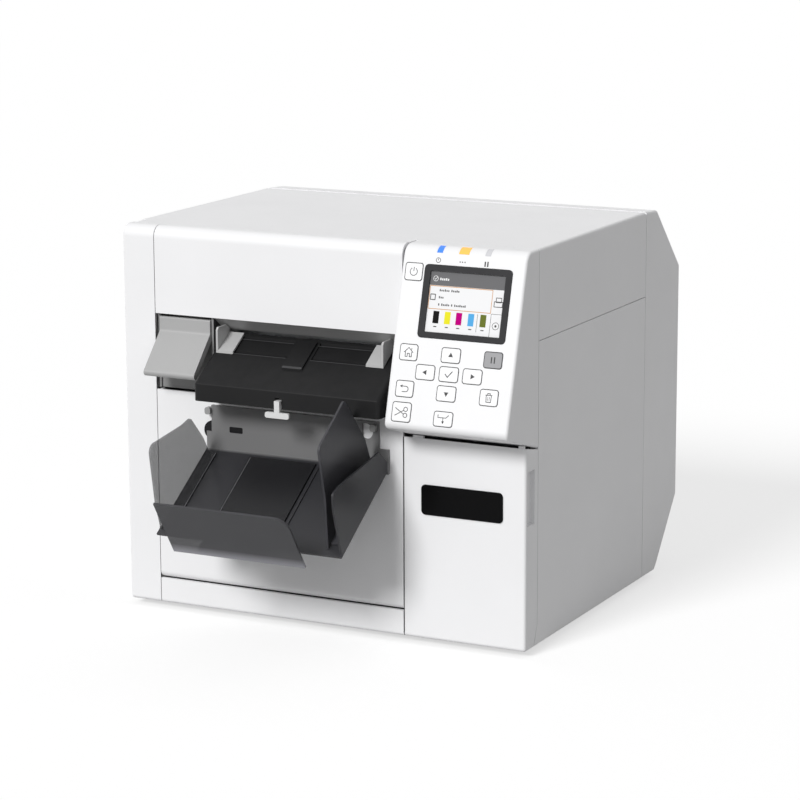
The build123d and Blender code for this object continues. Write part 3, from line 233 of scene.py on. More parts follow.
def skin(grid, turn=False, ring=False):
    """Quads over a grid of points: turn closes each row, ring joins the last row to the first, and a
    closed row that starts or ends the grid is capped."""
    grid = np.asarray(grid, float)
    index = np.arange(grid.shape[0] * grid.shape[1]).reshape(grid.shape[:2])
    wide = np.hstack([index, index[:, :1]]) if turn else index
    wide = np.vstack([wide, wide[:1]]) if ring else wide
    faces = np.stack([wide[:-1, :-1], wide[:-1, 1:], wide[1:, 1:], wide[1:, :-1]], -1).reshape(-1, 4).tolist()
    if turn and not ring:
        faces += [index[0].tolist(), index[-1].tolist()]
    return grid.reshape(-1, 3), faces


def lay(face, flat, height):
    """Points of a drawing in millimetres, x to the right and y up, laid on a face at a height off it."""
    origin, right, up, out = face
    flat = np.asarray(flat, float) / 1000
    return origin + flat[..., :1] * right + flat[..., 1:] * up + height / 1000 * out


def plate(face, outline, low, high):
    """A flat plate: its outline carried from the height low to the height high, and closed at both."""
    return skin([lay(face, outline, low), lay(face, outline, high)], turn=True)


def rounded(w, h, r, x=0.0, y=0.0, steps=5):
    """Outline of a rectangle w by h about x, y, each corner an arc of radius r."""
    quarter = np.repeat([0, 1, 2, 3], steps + 1)
    angle = quarter * np.pi / 2 + np.tile(np.linspace(0, np.pi / 2, steps + 1), 4)
    across = np.where((quarter == 0) | (quarter == 3), 1, -1) * (w / 2 - r)
    along = np.where(quarter < 2, 1, -1) * (h / 2 - r)
    return np.stack([x + across + r * np.cos(angle), y + along + r * np.sin(angle)], 1)


def piece(name, shapes, material, body):
    """One object from closed shapes, its faces turned outwards, that rides on a body."""
    points, faces, count = [], [], 0
    for own_points, own_faces in shapes:
        points.append(own_points)
        faces += [[corner + count for corner in face] for face in own_faces]
        count += len(own_points)
    mesh = bpy.data.meshes.new(name)
    mesh.from_pydata(np.vstack(points).tolist(), [], faces)
    shell = bmesh.new()
    shell.from_mesh(mesh)
    bmesh.ops.recalc_face_normals(shell, faces=shell.faces)
    shell.to_mesh(mesh)
    shell.free()
    mesh.materials.append(material)
    made = bpy.data.objects.new(name, mesh)
    bpy.context.scene.collection.objects.link(made)
    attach(made, body)
    return made


bay_black = finish("bay_black", (0.045, 0.045, 0.05), 0.5)
bumps(bay_black, noise(bay_black, 1500), 0.0001, 0.4)
blends(bay_black, noise(bay_black, 35), "Roughness", 0.42, 0.6)
dress(bay_black, "ink_bay")
cartridge_case = finish("cartridge_case", (0.04, 0.04, 0.045), 0.4)
bumps(cartridge_case, noise(cartridge_case, 1200), 0.0001, 0.25)
blends(cartridge_case, noise(cartridge_case, 50), "Roughness", 0.35, 0.5)
dress(cartridge_case, "ink_cartridges")
box_grey = finish("box_grey", (0.33, 0.33, 0.34), 0.5)
blends(box_grey, noise(box_grey, 60), "Base Color", (0.31, 0.31, 0.32), (0.35, 0.35, 0.36))
bumps(box_grey, noise(box_grey, 1600), 0.0001, 0.3)
dress(box_grey, "maintenance_box")
low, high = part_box("ink_cartridges")
slot_w = (high.x - low.x) * 1000 / 4
inks = {"black": (0.02, 0.02, 0.02), "cyan": (0.02, 0.35, 0.75), "magenta": (0.65, 0.02, 0.25),
        "yellow": (0.85, 0.7, 0.03)}
for number, (ink, colour) in enumerate(inks.items()):
    label = finish(ink + "_label", colour, 0.35)
    blends(label, noise(label, 400), "Roughness", 0.3, 0.42)
    front = (np.array([low.x + (number + 0.5) * slot_w / 1000, low.y, (low.z + high.z) / 2]),
             np.array([1, 0, 0]), np.array([0, 0, 1]), np.array([0, -1, 0]))
    piece(ink + "_cartridge_label", [plate(front, rounded(slot_w * 0.66, 46, 1.5, 0, 8), -0.05, 0.15)],
          label, "chassis")


# Boards, power supply and sockets
# Green fibreglass boards with copper tracks under the solder mask and black chips. The supply is in a
# folded steel box, and the sockets are moulded in black; their plated shells are left in the same black.

def board_green(name):
    """Solder mask over square copper tracks. Gives the material and the colour of its tracks."""
    mask = finish(name, (0.02, 0.16, 0.06), 0.3, {"Coat Weight": 0.4})
    place = node(mask, "TexCoord").outputs["Object"]
    tracks = node(mask, "TexVoronoi", {"Vector": place, "Scale": 260.0}, distance="CHEBYCHEV")
    return mask, blends(mask, tracks.outputs["Distance"], "Base Color", (0.06, 0.3, 0.1),
                        (0.015, 0.13, 0.05), 0.3, 0.36)


dress(board_green("key_board_mask")[0], "key_board")
mainboard_mask, tracks = board_green("mainboard_mask")
board_face = 0.1128
chip_share = node(mainboard_mask, "MapRange", {
    "Value": place_on(mainboard_mask, "Y"), "From Min": board_face, "From Max": board_face - 0.0001})
chips = node(mainboard_mask, "Mix", {0: chip_share.outputs["Result"], 6: tracks, 7: (0.02, 0.02, 0.022, 1)},
             data_type="RGBA")
plug(mainboard_mask, chips.outputs[2], "Base Color")
dress(mainboard_mask, "mainboard")
supply_steel = finish("supply_steel", (0.5, 0.5, 0.52), 0.42, {"Metallic": 1.0})
blends(supply_steel, noise(supply_steel, 90), "Roughness", 0.36, 0.5)
dress(supply_steel, "power_supply")
socket_black = finish("socket_black", (0.03, 0.03, 0.03), 0.45)
bumps(socket_black, noise(socket_black, 1800), 0.0001, 0.3)
blends(socket_black, noise(socket_black, 80), "Roughness", 0.4, 0.55)
dress(socket_black, "rear_sockets")


# White covers
# The outer covers are moulded in white ABS with a fine even texture from the tool. The keys have a
# little more shine, and the pause key is grey.

def moulded_white(name, colour, roughness, texture):
    """White plastic with a fine moulded texture, hardly uneven in its colour and shine."""
    white = finish(name, colour, roughness, {"Specular IOR Level": 0.35})
    shade = tuple(value * 0.975 for value in colour)
    blends(white, noise(white, 14, detail=4.0), "Base Color", shade, colour)
    blends(white, noise(white, 90), "Roughness", roughness - 0.04, roughness + 0.05)
    bumps(white, noise(white, 1400), 0.00012, texture)
    return white


casing_white = moulded_white("casing_white", (0.86, 0.86, 0.87), 0.48, 0.22)
dress(casing_white, "left_side_cover", "right_side_cover", "rear_cover", "top_cover", "upper_front_panel",
      "front_sill", "roll_cover", "ink_door", "control_panel_housing")
white_keys = [name for name in cad if name.endswith("_key") and name != "pause_key"]
key_white = moulded_white("key_white", (0.9, 0.9, 0.91), 0.36, 0.1)
dress(key_white, *white_keys)
key_grey = moulded_white("key_grey", (0.33, 0.33, 0.34), 0.36, 0.1)
dress(key_grey, "pause_key")


# Painted shade in the seams
# A thin near-black strip lies in each seam between the covers, a little below the surface. It is
# painted shade that darkens the seam lines where their shadow falls.

def stroke(face, path, width, low, high, closed=False):
    """A flat bar carried along a path: its sides run half the width to each side, mitred at the bends."""
    path = np.asarray(path, float)
    run = (np.roll(path, -1, 0) - path) if closed else np.diff(path, axis=0)
    run /= np.linalg.norm(run, axis=1, keepdims=True)
    side = np.stack([-run[:, 1], run[:, 0]], 1)
    before = np.roll(side, 1, 0) if closed else np.vstack([side[:1], side])
    after = side if closed else np.vstack([side, side[-1:]])
    reach = (before + after) / np.maximum(((before + after) * after).sum(1, keepdims=True), 0.35) * width / 2
    left, right = path + reach, path - reach
    rows = [lay(face, left, low), lay(face, right, low), lay(face, right, high), lay(face, left, high)]
    return skin(np.stack(rows, 1), turn=True, ring=closed)


def arc(x, y, r, start=0.0, end=360.0, steps=28):
    """Points on a circle of radius r about x, y, from one angle to the other in degrees."""
    angle = np.radians(np.linspace(start, end, steps, endpoint=abs(end - start) < 360))
    return np.stack([x + r * np.cos(angle), y + r * np.sin(angle)], 1)


# Near-black strips sunk in the seams: painted shade for the shadow in the gaps.
painted_shade = finish("seam_painted_shade", (0.012, 0.012, 0.012), 0.9, {"Specular IOR Level": 0.1})
bumps(painted_shade, noise(painted_shade, 2500), 0.0001, 0.5)
blends(painted_shade, noise(painted_shade, 700), "Roughness", 0.8, 0.97)
front_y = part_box("roll_cover")[0].y
top_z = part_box("top_cover")[1].z * 1000
side_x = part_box("ink_door")[1].x * 1000
sill_low, sill_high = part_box("front_sill")
half_seam = 0.00025
left_seam = sill_low.x - half_seam
column_seam = (sill_high.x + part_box("ink_door")[0].x) / 2
panel_seam_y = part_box("control_panel_housing")[1].y + half_seam
top_seam_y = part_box("upper_front_panel")[1].y + half_seam
painted_shade_depth = 0.75
painted_shade_x = side_x - painted_shade_depth
painted_shade_z = top_z - painted_shade_depth
painted_shade_foot = 7.0


def upright(x):
    """The plane X = x in metres, with Y to the right and Z up, both from the casing's front foot."""
    return np.array([x, front_y, 0]), np.array([0, 1.0, 0]), np.array([0, 0, 1.0]), np.array([1.0, 0, 0])


def facing(y):
    """The plane Y = y in metres, with X to the right and Z up."""
    return np.array([0, y, 0]), np.array([1.0, 0, 0]), np.array([0, 0, 1.0]), np.array([0, -1.0, 0])


over_the_edge = np.vstack([[(painted_shade_depth, painted_shade_foot)], arc(8, top_z - 8, 8 - painted_shade_depth, 180, 90, 9),
                           [(11.6, painted_shade_z)]])
piece("seam_painted_shade_sides", [
    stroke(upright(left_seam), over_the_edge, 0.5, -0.22, 0.22),
    stroke(facing(panel_seam_y), [(painted_shade_x, 22.0), (painted_shade_x, 139.5)], 0.5, -0.2, 0.2),
    stroke(upright(painted_shade_x / 1000), [(19.7, 21.8), (19.7, 19.7), (13.8, 4.6)], 0.38, -0.25, 0.25),
], painted_shade, "chassis")
piece("seam_painted_shade_door", [
    stroke(upright(column_seam), [(painted_shade_depth + 0.4, painted_shade_foot), (painted_shade_depth + 0.4, 143.5)], 0.6, -0.4, 0.48),
], painted_shade, "door")
corner = arc(side_x - 2, top_z - 2, 2 - painted_shade_depth, 0, 90, 5)
round_the_corner = np.vstack([[(painted_shade_x, 141.5)], corner, [(column_seam * 1000 + 1, painted_shade_z)]])
piece("seam_painted_shade_lid", [
    stroke(facing(panel_seam_y), round_the_corner, 0.5, -0.2, 0.2),
    stroke(facing(top_seam_y), [(left_seam * 1000 + 1, painted_shade_z), (column_seam * 1000 - 1, painted_shade_z)],
           0.5, -0.2, 0.2),
], painted_shade, "lid")


# Release lever and exit mouth
# The lever, the recess it swings in and the label exit guide are moulded in light grey plastic with a
# satin face. On the right of the lever the recess is painted near black, a painted shade.

def satin_grey(name, level):
    """Light grey plastic, satin, with a fine texture."""
    grey = finish(name, (level, level, level * 1.01), 0.42)
    blends(grey, noise(grey, 18, detail=4.0), "Base Color", (level * 0.97,) * 3, (level * 1.02,) * 3)
    blends(grey, noise(grey, 110), "Roughness", 0.38, 0.48)
    bumps(grey, noise(grey, 1600), 0.0001, 0.22)
    return grey


lever_grey = satin_grey("lever_grey", 0.38)
dress(lever_grey, "release_lever")
recess_grey_painted_shade = satin_grey("recess_grey_painted_shade", 0.2)
right_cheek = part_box("release_lever")[1].x
# Right of the lever's cheek the recess turns near black: painted shade.
blends(recess_grey_painted_shade, place_on(recess_grey_painted_shade, "X"), "Base Color", (0.25, 0.25, 0.25), (0.035, 0.035, 0.036),
       right_cheek, right_cheek + 0.0003)
dress(recess_grey_painted_shade, "lever_recess")
mouth_grey = satin_grey("mouth_grey", 0.45)
dress(mouth_grey, "label_exit_guide")


# Ejection table with its guides and lock
# The table is near black with a fine grain. Two light grey guides slide towards each other in its
# slots, and a small pale lever under its front edge locks them.

table_black = finish("table_black", (0.011, 0.011, 0.0115), 0.5, {"Specular IOR Level": 0.15})
blends(table_black, noise(table_black, 25, detail=4.0), "Base Color",
       (0.01, 0.01, 0.0105), (0.0125, 0.0125, 0.013))
blends(table_black, noise(table_black, 120), "Roughness", 0.42, 0.58)
bumps(table_black, noise(table_black, 1500), 0.00012, 0.45)
dress(table_black, "ejection_table")
guide_grey = satin_grey("guide_grey", 0.46)
dress(guide_grey, "left_paper_guide", "right_paper_guide")
table_slope = np.arctan(0.64)
table_edge_z = 0.1734
table_face = (np.array([0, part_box("ejection_table")[0].y, table_edge_z]), np.array([1.0, 0, 0]),
              np.array([0, np.cos(table_slope), np.sin(table_slope)]),
              np.array([0, -np.sin(table_slope), np.cos(table_slope)]))
# Thin strips along the slot edges, lighter than the table, are painted highlights where the edges catch
# light. The small plate for the middle bar's front lip is real shape, and its lighter grey is painted
# highlight too.
painted_glint_grey = finish("painted_glint_grey", (0.05, 0.05, 0.052), 0.45, {"Specular IOR Level": 0.3})
bumps(painted_glint_grey, noise(painted_glint_grey, 1500), 0.00005, 0.2)
blends(painted_glint_grey, noise(painted_glint_grey, 200), "Roughness", 0.4, 0.52)
glint_strips = [stroke(table_face, [(start, up), (end, up)], 0.45, -0.2, 0.16)
        for up in (31.9, 46.6) for start, end in ((-75.0, -24.3), (-5.6, 46.0))]
glint_strips.append(plate(table_face, rounded(15.2, 1.9, 0.8, -14.75, 22.3), 1.0, 1.52))
piece("slot_painted_glints", glint_strips, painted_glint_grey, "front_cover")
lock_grey = satin_grey("lock_grey", 0.7)
dress(lock_grey, "guide_lock")


# Label bin
# The bin is smoke tinted clear plastic, lightly frosted, and hangs on the roll cover below the table.
# Its walls and front stop slide on the floor to suit the label.

def smoke_tint(name, cover, shade):
    """Smoke plastic that lets 1 - cover of the light straight through."""
    smoke = finish(name, shade, 0.35, {"Alpha": cover, "Specular IOR Level": 0.3})
    blends(smoke, noise(smoke, 20), "Roughness", 0.3, 0.42)
    bumps(smoke, noise(smoke, 1200), 0.00005, 0.15)
    return smoke


tray_low, tray_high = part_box("bin_tray")
back_plate_t = 0.0024
smoke_tray = smoke_tint("smoke_tray", 0.86, (0.03, 0.03, 0.034))
# The back plate's front face is painted far lighter than the floor of the same smoke plastic: painted light.
blends(smoke_tray, place_on(smoke_tray, "Y"), "Base Color", (0.032, 0.032, 0.036), (0.21, 0.21, 0.212),
       tray_high.y - 0.0045, tray_high.y - back_plate_t)
dress(smoke_tray, "bin_tray")
stop_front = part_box("bin_front_stop")[0].y
smoke_stop = smoke_tint("smoke_stop", 0.82, (0.06, 0.06, 0.067))
# Along the stop, a pale band at its foot is a painted highlight and the slide beyond is painted shade; the
# rest keeps the smoke plastic's own colour.
along_stop = node(smoke_stop, "MapRange", {
    "Value": place_on(smoke_stop, "Y"), "From Min": stop_front, "From Max": stop_front + 0.032})
stop_painted_light = node(smoke_stop, "ValToRGB", {"Fac": along_stop.outputs["Result"]})
shades = stop_painted_light.color_ramp.elements
shades[0].position, shades[1].position = 0.66, 0.83
for position in (0.77, 0.8):
    shades.new(position)
for shade, level in zip(shades, (0.055, 0.31, 0.31, 0.018)):
    shade.color = (level, level, level * 1.1, 1)
plug(smoke_stop, stop_painted_light.outputs["Color"], "Base Color")
dress(smoke_stop, "bin_front_stop")
dress(smoke_tint("smoke_left", 0.52, (0.06, 0.06, 0.064)), "bin_left_wall")
dress(smoke_tint("smoke_right", 0.8, (0.06, 0.06, 0.067)), "bin_right_wall")
edge_dark = finish("edge_dark", (0.008, 0.008, 0.009), 0.5, {"Specular IOR Level": 0.15})
blends(edge_dark, noise(edge_dark, 500), "Roughness", 0.45, 0.58)
bin_face = facing(tray_high.y)
bin_left, bin_right = tray_low.x * 1000, tray_high.x * 1000
piece("bin_pivot_boss", [plate(bin_face, arc(bin_left + 4.5, 134.5, 6.8, 0, 360, 30), 0.2, 1.9)],
      edge_dark, "front_cover")
piece("bin_hook_slot", [plate(bin_face, rounded(10.5, 4.2, 0.8, bin_left + 23.6, 136.3), 2.3, 2.5)],
      edge_dark, "front_cover")
peg_grey = satin_grey("peg_grey", 0.3)
piece("bin_pegs", [plate(bin_face, rounded(4.4, 5.0, 1.6, x, 148.6), 0.3, 5.0)
                   for x in (bin_left + 2.2, bin_right - 10.6)],
      peg_grey, "front_cover")
floor_tilt = np.arctan(0.662)
floor_top = np.array([0, tray_high.y - back_plate_t, 0.1199])
floor_face = (floor_top, np.array([1.0, 0, 0]), np.array([0, -np.cos(floor_tilt), -np.sin(floor_tilt)]),
              np.array([0, -np.sin(floor_tilt), np.cos(floor_tilt)]))
# Two thin pale strips, along the left wall's foot and along the stop's slide, are painted highlights where
# those edges catch the light.
painted_glint = finish("painted_glint", (0.16, 0.16, 0.17), 0.4, {"Specular IOR Level": 0.4})
blends(painted_glint, noise(painted_glint, 300), "Roughness", 0.35, 0.5)
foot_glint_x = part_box("bin_left_wall")[1].x * 1000 - 0.25
piece("left_foot_painted_glint", [stroke(floor_face, [(foot_glint_x, 5.0), (foot_glint_x, 73.0)], 0.4, 3.0, 3.35)],
      painted_glint, "bin_left")
slide_painted_glint = -49.8
piece("slide_painted_glint", [stroke(floor_face, [(slide_painted_glint, 5.0), (slide_painted_glint, 92.0)], 0.4, 2.8, 3.15)],
      painted_glint, "bin_stop")


# Control panel: painted key shadows and symbols
# Each key shows through a fitted hole. A flat dark ring laid round each hole is painted shadow for the
# gap. The symbols are printed in grey on the keys, and smaller ones on the panel name the lights.

presses = {joint["name"]: joint["axis"] for joint in frame["joints"]}
panel_out = -np.array(presses["ok_key_press"])
panel_out /= np.linalg.norm(panel_out)
panel_right = np.array([1.0, 0, 0])
panel_up = np.cross(panel_out, panel_right)
key_proud = 0.4


def corners_of(name):
    """Every corner of a piece's mesh, one to a row."""
    mesh = cad[name].data
    points = np.zeros(len(mesh.vertices) * 3)
    mesh.vertices.foreach_get("co", points)
    return points.reshape(-1, 3)


def panel_face(name):
    """The face that a piece turns out of the panel: the middle of its box in the panel's own directions,
    at its highest."""
    points = corners_of(name)
    right, up, out = points @ panel_right, points @ panel_up, points @ panel_out
    middle = ((right.min() + right.max()) / 2 * panel_right + (up.min() + up.max()) / 2 * panel_up
              + out.max() * panel_out)
    return middle, panel_right, panel_up, panel_out


print_low, print_high, line_w = -0.02, 0.04, 0.5
key_ink = finish("key_ink", (0.03, 0.03, 0.031), 0.55)
blends(key_ink, noise(key_ink, 900), "Roughness", 0.5, 0.62)
# A dark ring round each key: painted shadow for the gap round it.
painted_gap_shadow = finish("painted_gap_shadow", (0.03, 0.03, 0.031), 0.6)
blends(painted_gap_shadow, noise(painted_gap_shadow, 600), "Roughness", 0.55, 0.68)


def line(face, path, closed=False, width=line_w):
    """One printed line of a symbol."""
    return stroke(face, path, width, print_low, print_high, closed)


def blot(face, outline):
    """One printed filled shape of a symbol."""
    return plate(face, outline, print_low, print_high)


def pointer(face, turn, size=2.0, x=0.0, y=0.0):
    """A filled arrow head, turned in degrees from pointing right."""
    return blot(face, arc(x, y, size, turn, turn + 360, 3))


def power_sign(face, r, width=line_w):
    """An open ring with a bar in its gap."""
    return [line(face, arc(0, 0, r, 122, 418), width=width),
            line(face, [(0, r * 0.1), (0, r * 1.2)], width=width)]


key_signs = {
    "power_key": lambda face: power_sign(face, 2.6),
    "home_key": lambda face: [
        line(face, [(-3.4, -0.1), (0, 3.1), (3.4, -0.1)]),
        line(face, [(-2.3, 0.4), (-2.3, -2.9), (-0.8, -2.9), (-0.8, -0.8), (0.8, -0.8), (0.8, -2.9),
                    (2.3, -2.9), (2.3, 0.4)]),
        line(face, [(2.1, 3.0), (2.1, 1.6)])],
    "up_key": lambda face: [pointer(face, 90)],
    "down_key": lambda face: [pointer(face, 270)],
    "left_key": lambda face: [pointer(face, 180)],
    "right_key": lambda face: [pointer(face, 0)],
    "ok_key": lambda face: [line(face, [(-2.6, 0.2), (-0.7, -1.9), (2.7, 2.2)], width=0.6)],
    "pause_key": lambda face: [blot(face, rounded(0.9, 4.2, 0.1, x)) for x in (-1.1, 1.1)],
    "back_key": lambda face: [
        line(face, np.vstack([[(-1.6, 1.7)], arc(0.9, -0.1, 1.8, 90, -90, 12), [(-1.8, -1.9)]])),
        pointer(face, 180, 1.2, -2.3, 1.7)],
    "cancel_key": lambda face: [
        line(face, [(-2.5, 1.7), (2.5, 1.7)]),
        line(face, [(-0.9, 1.9), (-0.9, 2.8), (0.9, 2.8), (0.9, 1.9)]),
        line(face, [(-1.9, 1.5), (-1.6, -2.9), (1.6, -2.9), (1.9, 1.5)]),
        line(face, [(-0.6, 0.7), (-0.5, -2.0)], width=0.3), line(face, [(0.6, 0.7), (0.5, -2.0)], width=0.3)],
    "cut_key": lambda face: [
        line(face, [(-4.6, 2.6), (1.9, -1.4)]), line(face, [(-4.6, -2.6), (1.9, 1.4)]),
        line(face, arc(3.0, 2.0, 1.4), True), line(face, arc(3.0, -2.0, 1.4), True)],
    "feed_key": lambda face: [
        line(face, [(-3.8, 2.8), (-3.8, 0.9), (2.0, 0.9), (3.9, 2.8)]),
        line(face, [(0, 0.9), (0, -1.4)]), pointer(face, 270, 1.2, 0, -2.0)],
}
painted_gap_rings = []
surround_gap = 0.98
for name, sign in key_signs.items():
    face = panel_face(name)
    body = cad[name]["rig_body"]
    piece(name.replace("_key", "_sign"), sign(face), key_ink, body)
    points = corners_of(name)
    top = points[points @ panel_out > (points @ panel_out).max() - 0.0001]
    w, h = np.ptp(top @ panel_right) * 1000, np.ptp(top @ panel_up) * 1000
    painted_gap_rings.append(stroke(face, rounded(w + surround_gap, h + surround_gap, 1.8), 0.34,
                            -key_proud - 0.3, -key_proud + 0.02, True))
piece("key_gap_painted_shadows", painted_gap_rings, painted_gap_shadow, "lid")
printed = panel_face("power_key")
on_low, on_high = -key_proud - 0.02, -key_proud + 0.05
small_signs = [
    stroke(printed, arc(16.9, 8.8, 1.6, 0, 360), 0.4, on_low, on_high, True),
    stroke(printed, [(16.9, 8.6), (16.9, 9.9)], 0.4, on_low, on_high)]
small_signs += [plate(printed, arc(34.6 + step, 8.6, 0.45, 0, 360, 14), on_low, on_high)
                for step in (-1.8, 0, 1.8)]
small_signs += [plate(printed, rounded(1.0, 3.5, 0.1, 52.0 + step, 8.4), on_low, on_high)
                for step in (-0.95, 0.95)]
piece("light_signs", small_signs, key_ink, "lid")


# Status lights
# Three clear light guides wrap over the top edge of the panel. The left one is lit blue, the middle
# one amber, and the right one is off, yet it is given the same faint glow in grey: painted light.

light_guides = finish("light_guides", (0.6, 0.6, 0.6), 0.2, {"Emission Strength": 0.25})
along_x = node(light_guides, "MapRange", {
    "Value": place_on(light_guides, "X"), "From Min": 0.08, "From Max": 0.14})
ramp = node(light_guides, "ValToRGB", {"Fac": along_x.outputs["Result"]})
ramp.color_ramp.interpolation = "CONSTANT"
ramp.color_ramp.elements[0].color = (0.05, 0.22, 0.85, 1)
ramp.color_ramp.elements[1].position = 0.33
ramp.color_ramp.elements[1].color = (0.9, 0.48, 0.09, 1)
# The off guide's grey feeds the glow too, a painted light.
ramp.color_ramp.elements.new(0.63).color = (0.5, 0.5, 0.52, 1)
for socket in ("Base Color", "Emission Color"):
    plug(light_guides, ramp.outputs["Color"], socket)
dress(light_guides, "status_lights")


# Screen
# A small colour display behind a dark frame. The picture is laid on the glass in thin areas: a grey
# bar, an outlined box, two signs at the right and five ink levels.

frame_dark = finish("frame_dark", (0.03, 0.03, 0.032), 0.45, {"Specular IOR Level": 0.12})
blends(frame_dark, noise(frame_dark, 150), "Roughness", 0.4, 0.54)
bumps(frame_dark, noise(frame_dark, 1500), 0.0001, 0.2)
dress(frame_dark, "lcd_frame")
screen_glass = finish("screen_glass", (0.84, 0.84, 0.85), 0.12, {"Specular IOR Level": 0.3})
blends(screen_glass, noise(screen_glass, 300), "Roughness", 0.1, 0.16)
dress(screen_glass, "lcd_screen")
screen_w, screen_h = 54.7, 40.6
letter_step = 1.25
screen = panel_face("lcd_screen")


def pixels(name, colour, shapes):
    """One colour of the picture, a hair thick, on the glass."""
    shown = finish(name + "_picture", colour, 0.15, {"Specular IOR Level": 0.05})
    blends(shown, noise(shown, 300), "Roughness", 0.12, 0.2)
    piece("screen_" + name, shapes, shown, "lid")


def area(x, v, w, h, level=1, r=0.05):
    """A filled rectangle of the picture, from its left edge x and its top edge v, in layers."""
    middle = rounded(w, h, r, x + w / 2 - screen_w / 2, screen_h / 2 - v - h / 2, 2)
    return plate(screen, middle, -0.02, 0.03 * level)


def outline(x, v, w, h, width, level=1):
    """The outline of a rectangle of the picture."""
    path = rounded(w, h, 0.1, x + w / 2 - screen_w / 2, screen_h / 2 - v - h / 2, 2)
    return stroke(screen, path, width, -0.02, 0.03 * level, True)


def words(x, v, *lengths):
    """Rows of small blocks that stand for words of so many letters, each block a letter's width."""
    made = []
    for count in lengths:
        for i in range(count):
            drop = 0.35 * (i % 3 > 0)
            made.append(area(x + letter_step * i, v + drop, 0.85, 1.5 - drop, r=0.15))
        x += letter_step * count + 1.0
    return made


def ring(x, v, r, width=0.35, level=1):
    """A ring of the picture about x, v."""
    return stroke(screen, arc(x - screen_w / 2, screen_h / 2 - v, r), width, -0.02, 0.03 * level, True)


pixels("grey", (0.16, 0.16, 0.165), [area(0.1, 0.1, 54.5, 9.3), area(46.7, 25.3, 7.9, 0.3),
                                     area(46.6, 25.5, 0.3, 15.0), area(36.9, 26.4, 0.3, 11.8)])
pixels("white", (0.8, 0.8, 0.8), [
    ring(3.9, 4.9, 1.7, level=2),
    stroke(screen, [(-24.3, 15.5), (-23.6, 14.7), (-22.4, 16.4)], 0.35, -0.02, 0.06),
    area(7.0, 4.2, 1.0, 1.7, 2, 0.2), area(8.4, 4.5, 1.0, 1.4, 2, 0.2), area(9.8, 4.5, 1.0, 1.4, 2, 0.2),
    area(11.2, 4.2, 1.0, 1.7, 2, 0.2), area(12.6, 4.5, 1.0, 1.4, 2, 0.2)])
pixels("orange", (0.6, 0.27, 0.07), [outline(0.5, 9.8, 45.6, 15.2, 0.4)])
pixels("dark", (0.1, 0.1, 0.1), [
    *words(7.6, 11.7, 6, 5), *words(7.6, 16.4, 3), *words(7.6, 21.2, 1, 5, 1, 7),
    outline(1.5, 15.4, 3.4, 3.6, 0.6), outline(49.2, 14.6, 3.8, 3.0, 0.5), outline(48.0, 17.2, 6.0, 3.4, 0.5),
    ring(50.7, 33.2, 2.3), plate(screen, arc(50.7 - screen_w / 2, screen_h / 2 - 33.2, 0.8), -0.02, 0.03)]
    + [area(x, 36.4, 2.4, 0.7, r=0.3) for x in (5.8, 14.3, 22.6, 31.4, 40.2)])
levels = {"black_ink": (0.01, 0.01, 0.01), "yellow_ink": (0.8, 0.75, 0.03), "magenta_ink": (0.5, 0.0, 0.2),
          "cyan_ink": (0.1, 0.4, 0.75), "olive_ink": (0.14, 0.17, 0.03)}
for x, (ink, colour) in zip((4.9, 13.3, 21.6, 30.4, 39.2), levels.items()):
    pixels(ink, colour, [area(x, 26.4, 4.3, 8.2)])


# Badge plate
# A plain plate of gloss black is bonded to the ink door.

badge_black = finish("badge_black", (0.003, 0.003, 0.0033), 0.2, {"Specular IOR Level": 0.06})
blends(badge_black, noise(badge_black, 40), "Roughness", 0.16, 0.26)
dress(badge_black, "badge_plate")


# Studio
# A pale floor, a soft key light from the front and above, an even sky, and a long lens a little above
# the printer and to its right.

floor_grid = np.stack(np.meshgrid(np.linspace(-4, 4, 9), np.linspace(-4, 4, 9), indexing="ij"), -1)
points, faces = skin(np.concatenate([floor_grid, np.full((9, 9, 1), -0.0002)], -1))
floor_mesh = bpy.data.meshes.new("floor")
floor_mesh.from_pydata(points.tolist(), [], faces)
floor = bpy.data.objects.new("floor", floor_mesh)
bpy.context.scene.collection.objects.link(floor)
pale = finish("pale_floor", (0.45, 0.45, 0.45), 0.9,
              {"Specular IOR Level": 0.0, "Emission Color": (1, 1, 1, 1)})


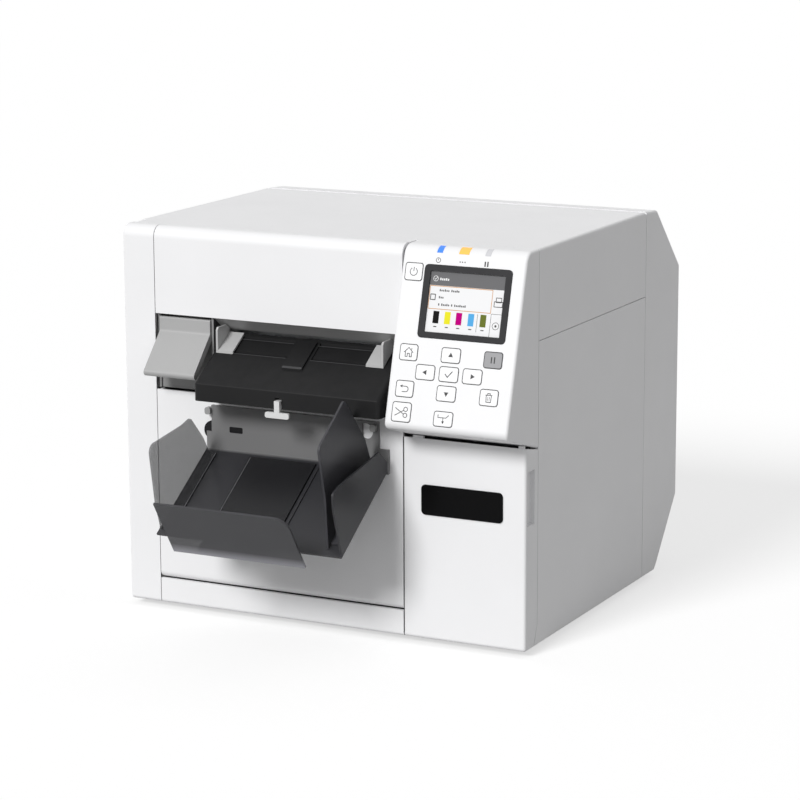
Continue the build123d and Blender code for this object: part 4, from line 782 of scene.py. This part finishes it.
def seen_rays(owner):
    """1 for rays from the camera, from gloss and through clear plastic, and 0 for the rest."""
    rays = node(owner, "LightPath")
    most = node(owner, "Math", {0: rays.outputs["Is Camera Ray"], 1: rays.outputs["Is Glossy Ray"]},
                operation="MAXIMUM")
    return node(owner, "Math", {0: most.outputs[0], 1: rays.outputs["Is Transmission Ray"]},
                operation="MAXIMUM").outputs[0]


glow = node(pale, "Math", {0: seen_rays(pale), 1: 0.62}, operation="MULTIPLY").outputs[0]
plug(pale, glow, "Emission Strength")
floor_mesh.materials.append(pale)

world = bpy.data.worlds.new("studio")
bpy.context.scene.world = world
world.use_nodes = True
level = node(world, "MapRange", {"Value": seen_rays(world), "To Min": 0.43, "To Max": 1.0}).outputs["Result"]
world.node_tree.nodes["Background"].inputs["Color"].default_value = (1, 1, 1, 1)
world.node_tree.links.new(level, world.node_tree.nodes["Background"].inputs["Strength"])

key_light = bpy.data.lights.new("key_light", "SUN")
key_light.energy = 2.4
key_light.angle = 0.3
lamp = bpy.data.objects.new("key_light", key_light)
lamp.rotation_euler = Vector((-0.14, -0.67, 0.44)).to_track_quat("Z", "Y").to_euler()
bpy.context.scene.collection.objects.link(lamp)

turn, rise, roll = np.radians([26.795, 11.957, -0.246])
back = np.array([np.sin(turn) * np.cos(rise), -np.cos(turn) * np.cos(rise), np.sin(rise)])
right = np.array([np.cos(turn), np.sin(turn), 0])
up = np.cross(back, right)
right, up = np.cos(roll) * right + np.sin(roll) * up, np.cos(roll) * up - np.sin(roll) * right
aim = np.array([-0.003761, 0.047056, 0.138066])
lens = bpy.data.cameras.new("camera")
lens.sensor_width = 36.0
lens.lens = 128.16
camera = bpy.data.objects.new("camera", lens)
directions = np.stack([right, up, back], 1).tolist()
place = (aim + back * 2.0646).tolist()
camera.matrix_world = Matrix([[*row, at] for row, at in zip(directions, place)] + [[0, 0, 0, 1]])
bpy.context.scene.collection.objects.link(camera)
bpy.context.scene.camera = camera
bpy.context.scene.view_settings.view_transform = "Standard"
